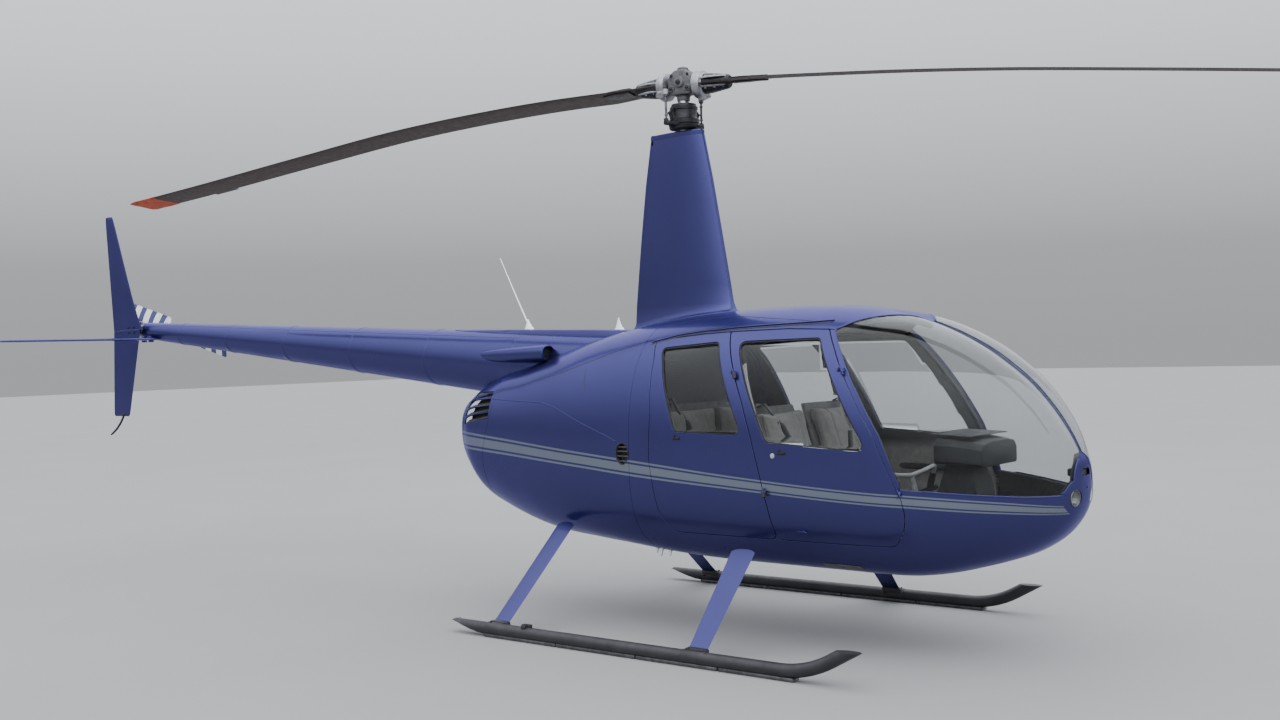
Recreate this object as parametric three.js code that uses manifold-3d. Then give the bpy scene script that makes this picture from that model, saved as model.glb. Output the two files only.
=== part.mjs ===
// Four-seat light helicopter on fixed skids, millimetres, X forward, Y to the left, Z up.
// While it is built, the main rotor axis stands at X = 0, Y = 0 and the ground is Z = 0.
import * as THREE from 'three';
import { mergeVertices } from 'three/addons/utils/BufferGeometryUtils.js';
import Module from 'manifold-3d';

const wasm = await Module();
wasm.setup();

// Main sizes.
const GAP = 0.3;
const WALL = 40;
const DOOR_LIP = 14;
const DOOR_GAP = 9;
const DOOR_STEP = 24;
const GLASS = 6;
const ROTOR_RADIUS = 5030;
const HUB_Z = 3196;
const HUB_LOW = 3128;
const HUB_HALF = 84;
const HUB_TOP = 3305;
const BLADE_CHORD = 260;
const BLADE_ANGLE = 6.2;
const BLADE_PITCH = 6;
const BLADE_ROOT = 152;
const TAIL_AXIS_X = -5890;
const TAIL_AXIS_Z = 1895;
const TAIL_RADIUS = 737;
const TAIL_CHORD = 130;
const TAIL_ROTOR_Y = 380;
const TAIL_PITCH = 14;
const TAIL_ROOT = 120;
const TAIL_TURN = 14;
const SKID_Y = 1060;
const SKID_R = 35;
const SHOE = 12;
const SILL_Z = 600;
const BULKHEAD_X = 20;
const CONE_WALL = 14;

// Body sections.
// x, bottom, top, belt (height of the widest place), half width, valley (depth of the crease on the middle line)
const SECTIONS = [
  [-1676, 871, 1330, 1120, 257, 0],
  [-1661, 800, 1350, 1115, 298, 0],
  [-1616, 735, 1375, 1105, 325, 0],
  [-1540, 665, 1420, 1100, 364, 0],
  [-1350, 585, 1500, 1080, 414, 0],
  [-1100, 518, 1560, 1060, 467, 0],
  [-870, 480, 1620, 1040, 518, 0],
  [-540, 459, 1705, 1020, 580, 0],
  [-220, 440, 1764, 1000, 610, 0],
  [70, 420, 1805, 1000, 628, 0],
  [400, 405, 1830, 1000, 638, 0],
  [900, 400, 1840, 1000, 640, 0],
  [1230, 398, 1826, 1000, 638, 5],
  [1410, 396, 1797, 1000, 632, 15],
  [1590, 400, 1762, 990, 612, 25],
  [1760, 424, 1692, 975, 573, 28],
  [1920, 464, 1612, 955, 515, 30],
  [2030, 497, 1538, 940, 458, 32],
  [2135, 534, 1453, 925, 391, 34],
  [2216, 576, 1365, 910, 335, 34],
  [2287, 626, 1272, 900, 277, 32],
  [2343, 685, 1178, 890, 216, 28],
  [2384, 748, 1082, 885, 150, 15],
  [2408, 820, 1003, 882, 72, 0],
];
const VALLEY_WIDTH = 90;
const UPPER_POWER = 2.6;
const RING_POINTS = 40;
const RING_ANGLES = Array.from({ length: RING_POINTS }, (_, i) => (360 * i) / RING_POINTS)
  .concat([85.5, 94.5])
  .sort((a, b) => a - b)
  .map((degrees) => (degrees * Math.PI) / 180);

const ramp = (x, from, to) => Math.min(Math.max((x - from) / (to - from), 0), 1);
// The belly is round at the back, boxier under the cabin and round again at the nose.
function lowerPower(x) {
  const power = 2 + 0.9 * ramp(x, -1350, 0);
  return power + (2.3 - power) * ramp(x, 1700, 2200);
}

function ring([x, bottom, top, belt, half, valley], grow) {
  return RING_ANGLES.map((angle) => {
    const c = Math.cos(angle);
    const s = Math.sin(angle);
    const power = 2 / (s >= 0 ? UPPER_POWER : lowerPower(x));
    const height = (s >= 0 ? top - belt : belt - bottom) + grow;
    const y = (half + grow) * Math.sign(c) * Math.abs(c) ** power;
    const z = belt + height * Math.sign(s) * Math.abs(s) ** power;
    const crease = s > 0 ? valley * Math.exp(-((y / VALLEY_WIDTH) ** 2)) : 0;
    return new THREE.Vector3(x, y, z - crease);
  });
}

function closedGeometry(positions, index) {
  const geometry = new THREE.BufferGeometry();
  geometry.setAttribute('position', new THREE.Float32BufferAttribute(positions, 3));
  geometry.setIndex(index);
  return geometry;
}

function loft(rings) {
  const count = rings[0].length;
  const positions = [];
  const index = [];
  rings.forEach((points) => points.forEach((p) => positions.push(p.x, p.y, p.z)));
  for (let i = 0; i < rings.length - 1; i += 1) {
    for (let j = 0; j < count; j += 1) {
      const a = i * count + j;
      const b = i * count + ((j + 1) % count);
      index.push(a, b, b + count, a, b + count, a + count);
    }
  }
  [0, rings.length - 1].forEach((row, end) => {
    const middle = new THREE.Vector3();
    rings[row].forEach((p) => middle.add(p));
    middle.divideScalar(count);
    const centre = positions.length / 3;
    positions.push(middle.x, middle.y, middle.z);
    for (let j = 0; j < count; j += 1) {
      const a = row * count + j;
      const b = row * count + ((j + 1) % count);
      if (end === 0) index.push(centre, b, a);
      else index.push(centre, a, b);
    }
  });
  let volume = 0;
  const v = (k) => new THREE.Vector3().fromArray(positions, 3 * k);
  for (let i = 0; i < index.length; i += 3) {
    volume += v(index[i]).dot(v(index[i + 1]).cross(v(index[i + 2])));
  }
  if (volume < 0) index.reverse();
  return toSolid(closedGeometry(positions, index));
}

// Three.js geometry to a solid for cuts and joins, and back.
function toSolid(source) {
  let geometry = source.clone();
  geometry.deleteAttribute('normal');
  geometry.deleteAttribute('uv');
  geometry = mergeVertices(geometry, 1e-4);
  return new wasm.Manifold(new wasm.Mesh({
    numProp: 3,
    vertProperties: new Float32Array(geometry.attributes.position.array),
    triVerts: new Uint32Array(geometry.index.array),
  }));
}

function toGeometry(solid) {
  const mesh = solid.getMesh();
  const geometry = closedGeometry(Array.from(mesh.vertProperties), Array.from(mesh.triVerts));
  geometry.computeVertexNormals();
  return geometry;
}

const join = (...solids) => solids.reduce((a, b) => a.add(b));
const mirror = (solid) => solid.mirror([0, 1, 0]);

function flatShape(points) {
  return new THREE.Shape(points.map(([a, b]) => new THREE.Vector2(a, b)));
}

// A side-view outline (x, z) made solid from y0 to y1.
function prism(points, y0, y1) {
  const geometry = new THREE.ExtrudeGeometry(flatShape(points), { depth: y1 - y0, bevelEnabled: false });
  geometry.rotateX(Math.PI / 2);
  geometry.translate(0, y1, 0);
  return toSolid(geometry);
}

// A plan outline (x, y) made solid from z0 to z1.
function plate(points, z0, z1) {
  const geometry = new THREE.ExtrudeGeometry(flatShape(points), { depth: z1 - z0, bevelEnabled: false });
  geometry.translate(0, 0, z0);
  return toSolid(geometry);
}

function box(x0, x1, y0, y1, z0, z1) {
  const geometry = new THREE.BoxGeometry(x1 - x0, y1 - y0, z1 - z0);
  geometry.translate((x0 + x1) / 2, (y0 + y1) / 2, (z0 + z1) / 2);
  return toSolid(geometry);
}

// A round bar, or a cone, from point a to point b.
function bar(a, b, radius, radiusB = radius, sides = 24) {
  const from = new THREE.Vector3(...a);
  const to = new THREE.Vector3(...b);
  const length = from.distanceTo(to);
  const geometry = new THREE.CylinderGeometry(radiusB, radius, length, sides);
  const turn = new THREE.Quaternion().setFromUnitVectors(
    new THREE.Vector3(0, 1, 0),
    to.clone().sub(from).normalize(),
  );
  geometry.applyQuaternion(turn);
  geometry.translate((a[0] + b[0]) / 2, (a[1] + b[1]) / 2, (a[2] + b[2]) / 2);
  return toSolid(geometry);
}

// Aerofoil-like outline: chord along +u from 0 (leading) to chord, thickness across.
function foil(chord, thickness, steps = 8) {
  const upper = [];
  for (let i = 0; i <= steps; i += 1) {
    const t = (1 - Math.cos((Math.PI * i) / steps)) / 2;
    const half = thickness * (1.4845 * Math.sqrt(t) - 0.63 * t - 1.758 * t ** 2 + 1.4215 * t ** 3 - 0.518 * t ** 4);
    upper.push([t * chord, Math.max(half, 1)]);
  }
  const lower = upper.slice().reverse().map(([u, w]) => [u, -w]);
  return upper.concat(lower);
}

function shrink(points, distance) {
  const middle = points.reduce((m, p) => [m[0] + p[0] / points.length, m[1] + p[1] / points.length], [0, 0]);
  const count = points.length;
  return points.map((p, i) => {
    const before = points[(i + count - 1) % count];
    const after = points[(i + 1) % count];
    const normal = (a, b) => {
      const length = Math.hypot(b[0] - a[0], b[1] - a[1]);
      const n = [-(b[1] - a[1]) / length, (b[0] - a[0]) / length];
      const side = (middle[0] - a[0]) * n[0] + (middle[1] - a[1]) * n[1];
      return side > 0 ? n : [-n[0], -n[1]];
    };
    const n1 = normal(before, p);
    const n2 = normal(p, after);
    const scale = distance / (1 + n1[0] * n2[0] + n1[1] * n2[1]);
    return [p[0] + (n1[0] + n2[0]) * scale, p[1] + (n1[1] + n2[1]) * scale];
  });
}

// Body solids.
const bodyCache = new Map();
function body(grow) {
  if (!bodyCache.has(grow)) {
    const rows = SECTIONS.filter(([, bottom, top, , half]) => half + grow > 20 && top - bottom + 2 * grow > 60);
    const rings = rows.map((row) => ring(row, grow));
    if (grow > 0) {
      rings[0].forEach((p) => { p.x -= grow; });
      rings[rings.length - 1].forEach((p) => { p.x += grow; });
    }
    bodyCache.set(grow, loft(rings));
  }
  return bodyCache.get(grow);
}
const skin = (outer, inner) => body(outer).subtract(body(inner));

// Side-view outlines (x, z).
const ROOF_LINE = [[BULKHEAD_X + 2, 1668], [425, 1700], [600, 1708], [960, 1714], [1222, 1704], [1255, 1700]];
const SPLIT_LINE = [[600, 1708], [708, 1490], [784, 1328], [845, 1150], [905, 920], [935, 780], [960, SILL_Z]];
const FRONT_EDGE = [[1222, 1704], [1296, 1602], [1436, 1375], [1563, 1161], [1672, 905], [1700, 840], [1712, 770],
  [1700, 690], [1640, SILL_Z]];
const REAR_EDGE = [[275, SILL_Z], [200, 700], [154, 1005], [162, 1254], [129, 1559], [85, 1673]];
const FRONT_DOOR = [[960, 1714], ...FRONT_EDGE, ...SPLIT_LINE.slice().reverse()];
const REAR_DOOR = [[425, 1700], ...SPLIT_LINE, ...REAR_EDGE];
const FRONT_WINDOW = [[690, 1650], [1190, 1658], [1535, 1080], [938, 1118]];
const REAR_WINDOW = [[160, 1625], [552, 1652], [790, 1152], [335, 1166], [196, 1551]];
const SCREEN_REAR = [[1255, 1700], [1324, 1602], [1465, 1375], [1591, 1162], [1693, 908], [1695, 898]];
const SCREEN_FOOT = [[1927, 877], [2212, 856], [2600, 856]];
const NOSE_EDGE_X = 1740;
// The painted cap on the nose, seen from the front (y, z).
const NOSE_CAP = [[-184, 850], [-165, 866], [-108, 916], [-55, 1015], [0, 1060], [55, 1015], [108, 916], [165, 866], [184, 850]];

const frontDoorHole = prism(FRONT_DOOR, -900, -100);
const rearDoorHole = prism(REAR_DOOR, -900, -100);

// A door's rim and its thicker inner panel. A positive extra makes the room that the door needs.
function doorSolid(outline, extra = 0) {
  const rim = skin(extra, -DOOR_LIP - extra).intersect(prism(shrink(outline, DOOR_GAP / 2 - extra), -900, -100));
  const panel = skin(-DOOR_LIP + 0.2, -WALL - extra).intersect(prism(shrink(outline, DOOR_STEP - extra), -900, -100));
  return join(rim, panel);
}

function paneSolid(windowOutline) {
  return skin(-4, -4 - GLASS).intersect(prism(shrink(windowOutline, GAP), -900, -100));
}

const root = new THREE.Group();
function add(name, shape, color, roughness = 0.5, metalness = 0.1, extra = {}) {
  const geometry = shape.isBufferGeometry ? shape : toGeometry(shape);
  const material = new THREE.MeshStandardMaterial({ color, roughness, metalness, ...extra });
  const mesh = new THREE.Mesh(geometry, material);
  mesh.name = name;
  root.add(mesh);
  return mesh;
}
const PAINT = [0x232a66, 0.32, 0.5];
const DARK = [0x1b1c1f, 0.6, 0.2];
const METAL = [0x8d9196, 0.4, 0.9];
const WHITE = [0xe8e8e4, 0.45, 0.05];
const CLEAR = [0x8a9498, 0.08, 0, { transparent: true, opacity: 0.35 }];
const TRIM = [0x8a857a, 0.9, 0];

// Door hinges.
// A hinge line leans forward as it goes down. Each hinge has a lower knuckle on the post and an upper one on the door.
const HINGES = {
  front: { foot: [1696, -608, 880], head: [1377, -581, 1490], heights: [880, 1490] },
  rear: { foot: [929, -658, 860], head: [723, -598, 1482], heights: [860, 1482] },
};
const KNUCKLE = 26;
const KNUCKLE_R = 10;
function onHinge({ foot, head }, z) {
  const t = (z - foot[2]) / (head[2] - foot[2]);
  return foot.map((value, i) => value + (head[i] - value) * t);
}
const joinAll = (solids) => solids.reduce((a, b) => a.add(b));
// The arm beside each knuckle spans fromX to toX from the hinge line, and its foot starts at footX and goes in by depth.
function knuckles(hinge, forDoor, fromX, toX, depth, footX = toX) {
  return joinAll(hinge.heights.map((z) => {
    const low = forDoor ? z + 0.5 : z - KNUCKLE;
    const [x, y] = onHinge(hinge, low + KNUCKLE / 2);
    const arm = (end, inside) => box(x + fromX, x + end, y - 4, y + 160, low + 5, low + KNUCKLE - 6).subtract(body(inside));
    return join(
      bar(onHinge(hinge, low), onHinge(hinge, low + KNUCKLE - 0.5), KNUCKLE_R, KNUCKLE_R, 16),
      arm(toX, 1),
      arm(footX, -depth),
    );
  }));
}
function notches(hinge, fromX, toX, above) {
  return joinAll(hinge.heights.map((z) => {
    const [x, y] = onHinge(hinge, z);
    return box(x + fromX, x + toX, y - 20, y + 160, z - KNUCKLE - 16, z + above);
  }));
}

// The room that a door takes as it opens.
const DOOR_OPEN = 78;
function swept(solid, { foot, head }) {
  const axis = new THREE.Vector3(...head).sub(new THREE.Vector3(...foot)).normalize();
  const steps = Array.from({ length: 14 }, (_, i) => (i * DOOR_OPEN) / 13);
  return joinAll(steps.map((degrees) => {
    const turn = new THREE.Matrix4().makeTranslation(...foot)
      .multiply(new THREE.Matrix4().makeRotationAxis(axis, (degrees * Math.PI) / 180))
      .multiply(new THREE.Matrix4().makeTranslation(-foot[0], -foot[1], -foot[2]));
    return solid.transform(turn.elements);
  }));
}
const CLEAR_BY = 5;
const frontSweep = swept(doorSolid(FRONT_DOOR, CLEAR_BY), HINGES.front);
const rearSweep = swept(doorSolid(REAR_DOOR, CLEAR_BY), HINGES.rear);

// Cabin.
const shell = skin(0, -WALL);
const innerSpace = body(-WALL - 36);
const leftDoors = (solid) => solid.subtract(mirror(frontDoorHole)).subtract(mirror(rearDoorHole));
const withoutDoors = leftDoors(shell.subtract(frontDoorHole).subtract(rearDoorHole));
const bothSides = (solid, cut) => solid.subtract(cut).subtract(mirror(cut));
const NOSE_X = 2700;
function capPrism(grow) {
  const geometry = new THREE.ExtrudeGeometry(flatShape(shrink(NOSE_CAP, -grow)), { depth: 500, bevelEnabled: false });
  geometry.applyMatrix4(new THREE.Matrix4().makeBasis(
    new THREE.Vector3(0, 1, 0),
    new THREE.Vector3(0, 0, 1),
    new THREE.Vector3(1, 0, 0),
  ));
  geometry.translate(2250, 0, 0);
  return toSolid(geometry);
}
const floorZone = join(
  prism([[BULKHEAD_X + 2, 300], [NOSE_X, 300], ...SCREEN_FOOT.slice().reverse().map(([x, z]) => [x, z - GAP]),
    [NOSE_EDGE_X, 893 - GAP], [NOSE_EDGE_X, SILL_Z], [BULKHEAD_X + 2, SILL_Z]], -900, 900),
  capPrism(0),
);
const floor = bothSides(withoutDoors.intersect(floorZone), frontSweep);
add('cabin_floor_and_nose', bothSides(floor, rearSweep), ...PAINT);

const roofZone = prism([...ROOF_LINE.slice(0, -1), [1255 - GAP, 1700], [1255 - GAP, 2100], [BULKHEAD_X + 2, 2100]], -900, 900);
const roof = bothSides(shell.intersect(roofZone), frontSweep);
add('cabin_roof', bothSides(roof, rearSweep), ...PAINT);

const frontPostZone = prism([[1200, 1600], [1223, 1703 - GAP], [1255 - GAP, 1699 - GAP],
  ...SCREEN_REAR.slice(1, -1).map(([x, z]) => [x - GAP, z]), [1695 - GAP, 897 - GAP], [NOSE_EDGE_X - GAP, 893 - GAP],
  [NOSE_EDGE_X - GAP, SILL_Z + GAP], [1500, SILL_Z + GAP], [1500, 1000]], -900, -100);
const frontStrip = withoutDoors.intersect(frontPostZone).subtract(frontSweep);
const frontPost = join(frontStrip, knuckles(HINGES.front, false, 0, 12, 12));
add('front_post_right', frontPost, ...PAINT);
add('front_post_left', mirror(frontPost), ...PAINT);

const inward = (points, distance) => points.map(([x, z]) => [x + distance, z]);
const centreZone = [...inward(SPLIT_LINE, 35), ...inward(SPLIT_LINE, -35).reverse()];
const centrePost = skin(-WALL - GAP, -WALL - 35)
  .intersect(prism(centreZone, -900, -100))
  .subtract(frontSweep)
  .subtract(rearSweep);
const hingedPost = join(centrePost, knuckles(HINGES.rear, false, -5, 5, 66));
add('centre_post_right', hingedPost, ...DARK);
add('centre_post_left', mirror(hingedPost), ...DARK);

const rearSideZone = prism([[BULKHEAD_X + 2, SILL_Z + GAP], [300, SILL_Z + GAP], [230, 760], [190, 1005], [190, 1254],
  [150, 1559], [120, 1660], [95, 1673], [BULKHEAD_X + 2, 1667]], -900, -100);
const rearSide = withoutDoors.intersect(rearSideZone).subtract(rearSweep);
add('rear_post_right', rearSide, ...PAINT);
add('rear_post_left', mirror(rearSide), ...PAINT);

const screenZone = prism([...SCREEN_REAR, ...SCREEN_FOOT, [2600, 2100], [1255, 2100]], -900, 900);
const screen = skin(-2, -2 - GLASS).intersect(screenZone).subtract(capPrism(GAP));
add('windscreen_right', screen.intersect(box(1200, 2600, -900, -GAP / 2, 800, 2200)), ...CLEAR);
add('windscreen_left', screen.intersect(box(1200, 2600, GAP / 2, 900, 800, 2200)), ...CLEAR);

// Doors.
[['front', FRONT_DOOR, FRONT_WINDOW], ['rear', REAR_DOOR, REAR_WINDOW]].forEach(([place, outline, windowOutline]) => {
  const front = place === 'front';
  const notch = front ? notches(HINGES.rear, -44, 28, 42) : notches(HINGES.rear, -11, 11, 5);
  const panel = doorSolid(outline).subtract(prism(windowOutline, -900, -100)).subtract(notch);
  const relieved = front ? panel.subtract(rearSweep) : panel;
  const door = join(relieved, knuckles(HINGES[place], true, -46, -9, 10, -18));
  const pane = paneSolid(windowOutline);
  add(`${place}_door_right`, door, ...PAINT);
  add(`${place}_door_left`, mirror(door), ...PAINT);
  add(`${place}_window_right`, pane, ...CLEAR);
  add(`${place}_window_left`, mirror(pane), ...CLEAR);
});

// Bulkhead and engine bay.
const bulkhead = body(-25 - GAP).intersect(box(BULKHEAD_X - 28, BULKHEAD_X + 2 - GAP, -900, 900, 300, 2100));
add('rear_bulkhead', bulkhead, ...TRIM);
const bayHole = box(-1080, -60, -300, 300, 300, 700);
const cowl = skin(0, -25).intersect(box(-2100, BULKHEAD_X + 2 - GAP, -900, 900, 300, 2100)).subtract(bayHole);
const MAST_FAIRING_REAR = [[-480, 1600], [-419, 1727], [-364, 2169], [-313, 2534], [-245, 2925]];
const MAST_FAIRING_FRONT = [[138, 2925], [201, 2608], [262, 2250], [322, 1895], [350, 1600]];

// Mast fairing, lofted from aerofoil-like rings: z, rear x, front x, half thickness.
const FAIRING = [
  [1560, -430, 345, 150],
  [1895, -395, 322, 135],
  [2250, -352, 262, 118],
  [2608, -302, 201, 100],
  [2920, -246, 138, 82],
];
const fairingRings = FAIRING.map(([z, rear, front, half]) => foil(front - rear, half, 10)
  .map(([u, w]) => new THREE.Vector3(front - u, w, z)));
const fairing = loft(fairingRings).subtract(body(GAP)).intersect(box(-900, 900, -400, 400, 1500, 2919));
const shaftHole = bar([0, 0, 2298.5], [0, 0, 3000], 31.5);
add('mast_fairing', fairing.subtract(shaftHole), ...PAINT);

// Tail cone.
const coneCentreZ = (x) => 1580 + (-1875 - x) * 0.0788;
const coneRadius = (x) => 202.5 - (-1875 - x) * 0.03474;
const CONE_FRONT = -330;
const CONE_END = -5740;
function coneSolid(from, to, grow) {
  return bar([from, 0, coneCentreZ(from)], [to, 0, coneCentreZ(to)], coneRadius(from) + grow, coneRadius(to) + grow, 36);
}
const cone = coneSolid(CONE_FRONT, CONE_END, 0).subtract(coneSolid(CONE_FRONT + 10, CONE_END + 120, -CONE_WALL));
add('tail_cone', cone.subtract(body(GAP)).subtract(loft(fairingRings.map((points) => points.map((p) => p.clone().multiply(new THREE.Vector3(1.002, 1.004, 1)))))), ...PAINT);
add('engine_cowl', cowl, ...PAINT);
const engineMounts = [-200, 200].map((y) => bar([-200, y, 560], [BULKHEAD_X - 28 - GAP, y, 600], 16));
add('engine_block', join(box(-960, -180, -255, 255, 470, 980), ...engineMounts)
  .intersect(box(-1000, BULKHEAD_X - 28 - GAP, -300, 300, 400, 1000)).intersect(body(-14)), ...METAL);
add('cooling_fan_housing', bar([-1230, 0, 830], [-1000, 0, 830], 290, 230, 32).intersect(body(-25 - GAP)), ...DARK);

// Main rotor.
const rotor = new THREE.Group();
const mast = bar([0, 0, 2300], [0, 0, HUB_LOW - GAP], 30);
add('main_rotor_mast', mast, ...METAL);
const swash = join(bar([0, 0, 2930], [0, 0, 3000], 92), bar([0, 0, 2990], [0, 0, 3084], 78), box(-120, 120, -18, 18, 2955, 2980));
add('swashplate', swash.subtract(bar([0, 0, 2900], [0, 0, 3100], 30 + GAP)), ...DARK);

// Each blade droops under its own weight: distance from the mast, and height of the blade there.
const DROOP = {
  a: [[0, 3188], [330, 3185], [1080, 3132], [1930, 3047], [2690, 2950], [3240, 2876], [4200, 2742], [ROTOR_RADIUS, 2625]],
  b: [[0, 3196], [330, 3194], [1000, 3196], [1600, 3178], [2200, 3143], [3200, 3044], [4200, 2938], [ROTOR_RADIUS, 2858]],
};
function heightAt(line, r) {
  const i = Math.max(1, line.findIndex(([at]) => at >= r));
  const [r0, z0] = line[i - 1];
  const [r1, z1] = line[i];
  return z0 + ((z1 - z0) * (r - r0)) / (r1 - r0);
}
function bladeSolid(line, grow = 0) {
  const stations = [
    [BLADE_ROOT - grow, 176, 42], [212, 194, 44], [330, 204, 37],
    [590, BLADE_CHORD, 31], [1080, BLADE_CHORD, 30], [1600, BLADE_CHORD, 30],
    [2200, BLADE_CHORD, 29], [2690, BLADE_CHORD, 29], [3240, BLADE_CHORD, 28], [4200, BLADE_CHORD, 28],
    [ROTOR_RADIUS - 60, BLADE_CHORD, 27], [ROTOR_RADIUS, BLADE_CHORD - 20, 20],
  ];
  const pitch = THREE.MathUtils.degToRad(BLADE_PITCH);
  return loft(stations.map(([r, chord, thick]) => foil(chord + 2 * grow, thick / 2 + grow, 6).map(([u, w]) => {
    const ahead = 0.27 * BLADE_CHORD + grow - u;
    const z = heightAt(line, r) + ahead * Math.sin(pitch) + w * Math.cos(pitch);
    return new THREE.Vector3(r, ahead * Math.cos(pitch) - w * Math.sin(pitch), z);
  })));
}
const hubSolid = (grow) => join(
  box(-HUB_HALF - grow, HUB_HALF + grow, -46 - grow, 46 + grow, HUB_LOW - grow, HUB_TOP - 21 + grow),
  bar([0, 0, HUB_Z + 40], [0, 0, HUB_TOP], 34),
).rotate([0, 0, BLADE_ANGLE]);
const hubReach = HUB_HALF + GAP;
const hubZone = box(-hubReach, hubReach, -150, 150, HUB_Z - 150, HUB_Z + 150).rotate([0, 0, BLADE_ANGLE]);
[0, 180].forEach((spin, i) => {
  const side = 'ab'[i];
  const line = DROOP[side];
  const turned = (solid) => solid.rotate([0, 0, BLADE_ANGLE + spin]);
  add(`main_blade_${side}`, turned(bladeSolid(line)), ...DARK);
  const along = (from, to, r0, r1) => bar([from, 0, heightAt(line, from)], [to, 0, heightAt(line, to)], r0, r1);
  const cuff = join(along(60, 120, 42, 42), along(92, 148, 85, 80), along(140, 322, 61, 40));
  add(`blade_cuff_${side}`, turned(cuff.subtract(bladeSolid(line, GAP))).subtract(hubZone), ...METAL);
});
add('main_rotor_hub', hubSolid(0), ...METAL);

// Tail.
const gearX = TAIL_AXIS_X;
const gearboxSolid = (grow) => join(
  bar([-5700, 0, coneCentreZ(-5700)], [gearX - 70 - grow, 0, TAIL_AXIS_Z + 4], 62 + grow, 50 + grow),
  bar([gearX, -grow, TAIL_AXIS_Z], [gearX, 130 + grow, TAIL_AXIS_Z], 48 + grow),
  bar([gearX, 120, TAIL_AXIS_Z], [gearX, 230 + grow, TAIL_AXIS_Z], 36 + grow),
);
const coneEnd = bar([-5000, 0, coneCentreZ(-5000)], [-5740 - GAP, 0, coneCentreZ(-5740 - GAP)], 150, 150, 36);
add('tail_gearbox', gearboxSolid(0).subtract(coneEnd), ...DARK);
const finPlate = (points, y0, y1) => prism(points, y0, y1);
const finBracket = box(-5880, -5760, -91.7, -20, 1855, 1925).subtract(coneEnd);
add('fin_bracket', finBracket.subtract(gearboxSolid(GAP)), ...DARK);
add('upper_fin', finPlate([[-5694, 1890], [-6090, 1890], [-6176, 2875], [-6062, 2875]], -112, -92), ...PAINT);
const LOWER_FIN = [[-5690, 1890 - GAP], [-6090, 1890 - GAP], [-6124, 1156], [-5886, 1172]];
add('lower_fin', finPlate(LOWER_FIN, -112, -92), ...PAINT);
const coneGrown = coneSolid(CONE_FRONT, CONE_END, GAP);
const tailPlane = loft([[-1400, -5500, 185], [-10, -5460, 225]]
  .map(([y, lead, chord]) => foil(chord, 22, 7).map(([u, w]) => new THREE.Vector3(lead - u, y, 1810 + w))));
add('stabiliser', tailPlane.subtract(coneGrown), ...PAINT);
add('tail_skid', bar([-5974, -102, 1190], [-6195, -102, 988], 9).subtract(finPlate(shrink(LOWER_FIN, -GAP), -112 - GAP, -92 + GAP)), ...DARK);

// Tail rotor.
const tailYoke = bar([-TAIL_ROOT, TAIL_ROTOR_Y, 0], [TAIL_ROOT, TAIL_ROTOR_Y, 0], 17).rotate([0, TAIL_TURN, 0]).translate([gearX, 0, TAIL_AXIS_Z]);
add('tail_rotor_hub', join(bar([gearX, 230.8, TAIL_AXIS_Z], [gearX, TAIL_ROTOR_Y + 40, TAIL_AXIS_Z], 26), tailYoke), ...METAL);
[0, 180].forEach((turn, i) => {
  const pitch = THREE.MathUtils.degToRad(TAIL_PITCH);
  const rings = [[TAIL_ROOT + GAP, 96], [150, TAIL_CHORD], [TAIL_RADIUS, TAIL_CHORD]]
    .map(([r, chord]) => foil(chord, 9).map(([u, w]) => {
      const ahead = chord * 0.35 - u;
      return new THREE.Vector3(r, w * Math.cos(pitch) - ahead * Math.sin(pitch), w * Math.sin(pitch) + ahead * Math.cos(pitch));
    }));
  const blade = loft(rings).rotate([0, TAIL_TURN + turn, 0]).translate([gearX, TAIL_ROTOR_Y, TAIL_AXIS_Z]);
  add(`tail_blade_${'ab'[i]}`, blade, ...WHITE);
});

// Landing gear.
const SKID_BEND = 1432;
const TOE_Z = 178;
const HEEL_X = -740;
// The tube's front end is cut level with the ground, and its rear end is cut away underneath.
function skidSolid(sign, grow) {
  const y = sign * SKID_Y;
  const z = SKID_R + SHOE;
  const tube = join(
    bar([-973, y, z], [SKID_BEND, y, z], SKID_R + grow),
    bar([SKID_BEND, y, z], [SKID_BEND + 314, y, z + 177], SKID_R + grow),
    toSolid(new THREE.SphereGeometry(SKID_R + grow, 24, 16).translate(SKID_BEND, y, z)),
  );
  const above = box(SKID_BEND, 2000, y - 60, y + 60, TOE_Z, 400);
  const heel = prism([[-1010, 82], [-973, 78], [HEEL_X, 9], [HEEL_X, -20], [-1010, -20]], y - 60, y + 60);
  const shoe = box(HEEL_X + 20, 1400, y - 25, y + 25, 0, SHOE + 8);
  return join(tube.subtract(above).subtract(heel), shoe);
}
[['right', -1], ['left', 1]].forEach(([side, sign]) => {
  add(`skid_${side}`, skidSolid(sign, 0), ...DARK);
  [['rear', -637, -470, 555, 130, 115], ['front', 756, -620, 505, 160, 116]].forEach(([place, x, topY, topZ, chordTop, chordLow]) => {
    const sections = [[0, chordLow], [1, chordTop]].map(([t, chord]) => {
      const y = -SKID_Y + 18 + (topY + SKID_Y) * t * 1.25;
      const z = 66 + (topZ - 50) * t * 1.25;
      return foil(chord, 22).map(([u, w]) => new THREE.Vector3(x + chord / 2 - u, (y + w * 0.7) * -sign, z + w * 0.7));
    });
    add(`${place}_strut_${side}`, loft(sections).subtract(body(GAP)).subtract(skidSolid(sign, GAP)), ...PAINT);
  });
});

// Antennas.
const whip = join(
  bar([-1302, 0, 1735], [-1312, 0, 1792], 13, 8, 12),
  bar([-1311, 0, 1786], [-1557, 0, 2252], 6, 3, 12),
);
add('whip_antenna', whip.subtract(coneGrown), ...WHITE);
add('fin_antenna', prism([[-480, 1700], [-560, 1700], [-535, 1795], [-510, 1795]], -5, 5).subtract(coneGrown).subtract(body(GAP)), ...WHITE);

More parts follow.
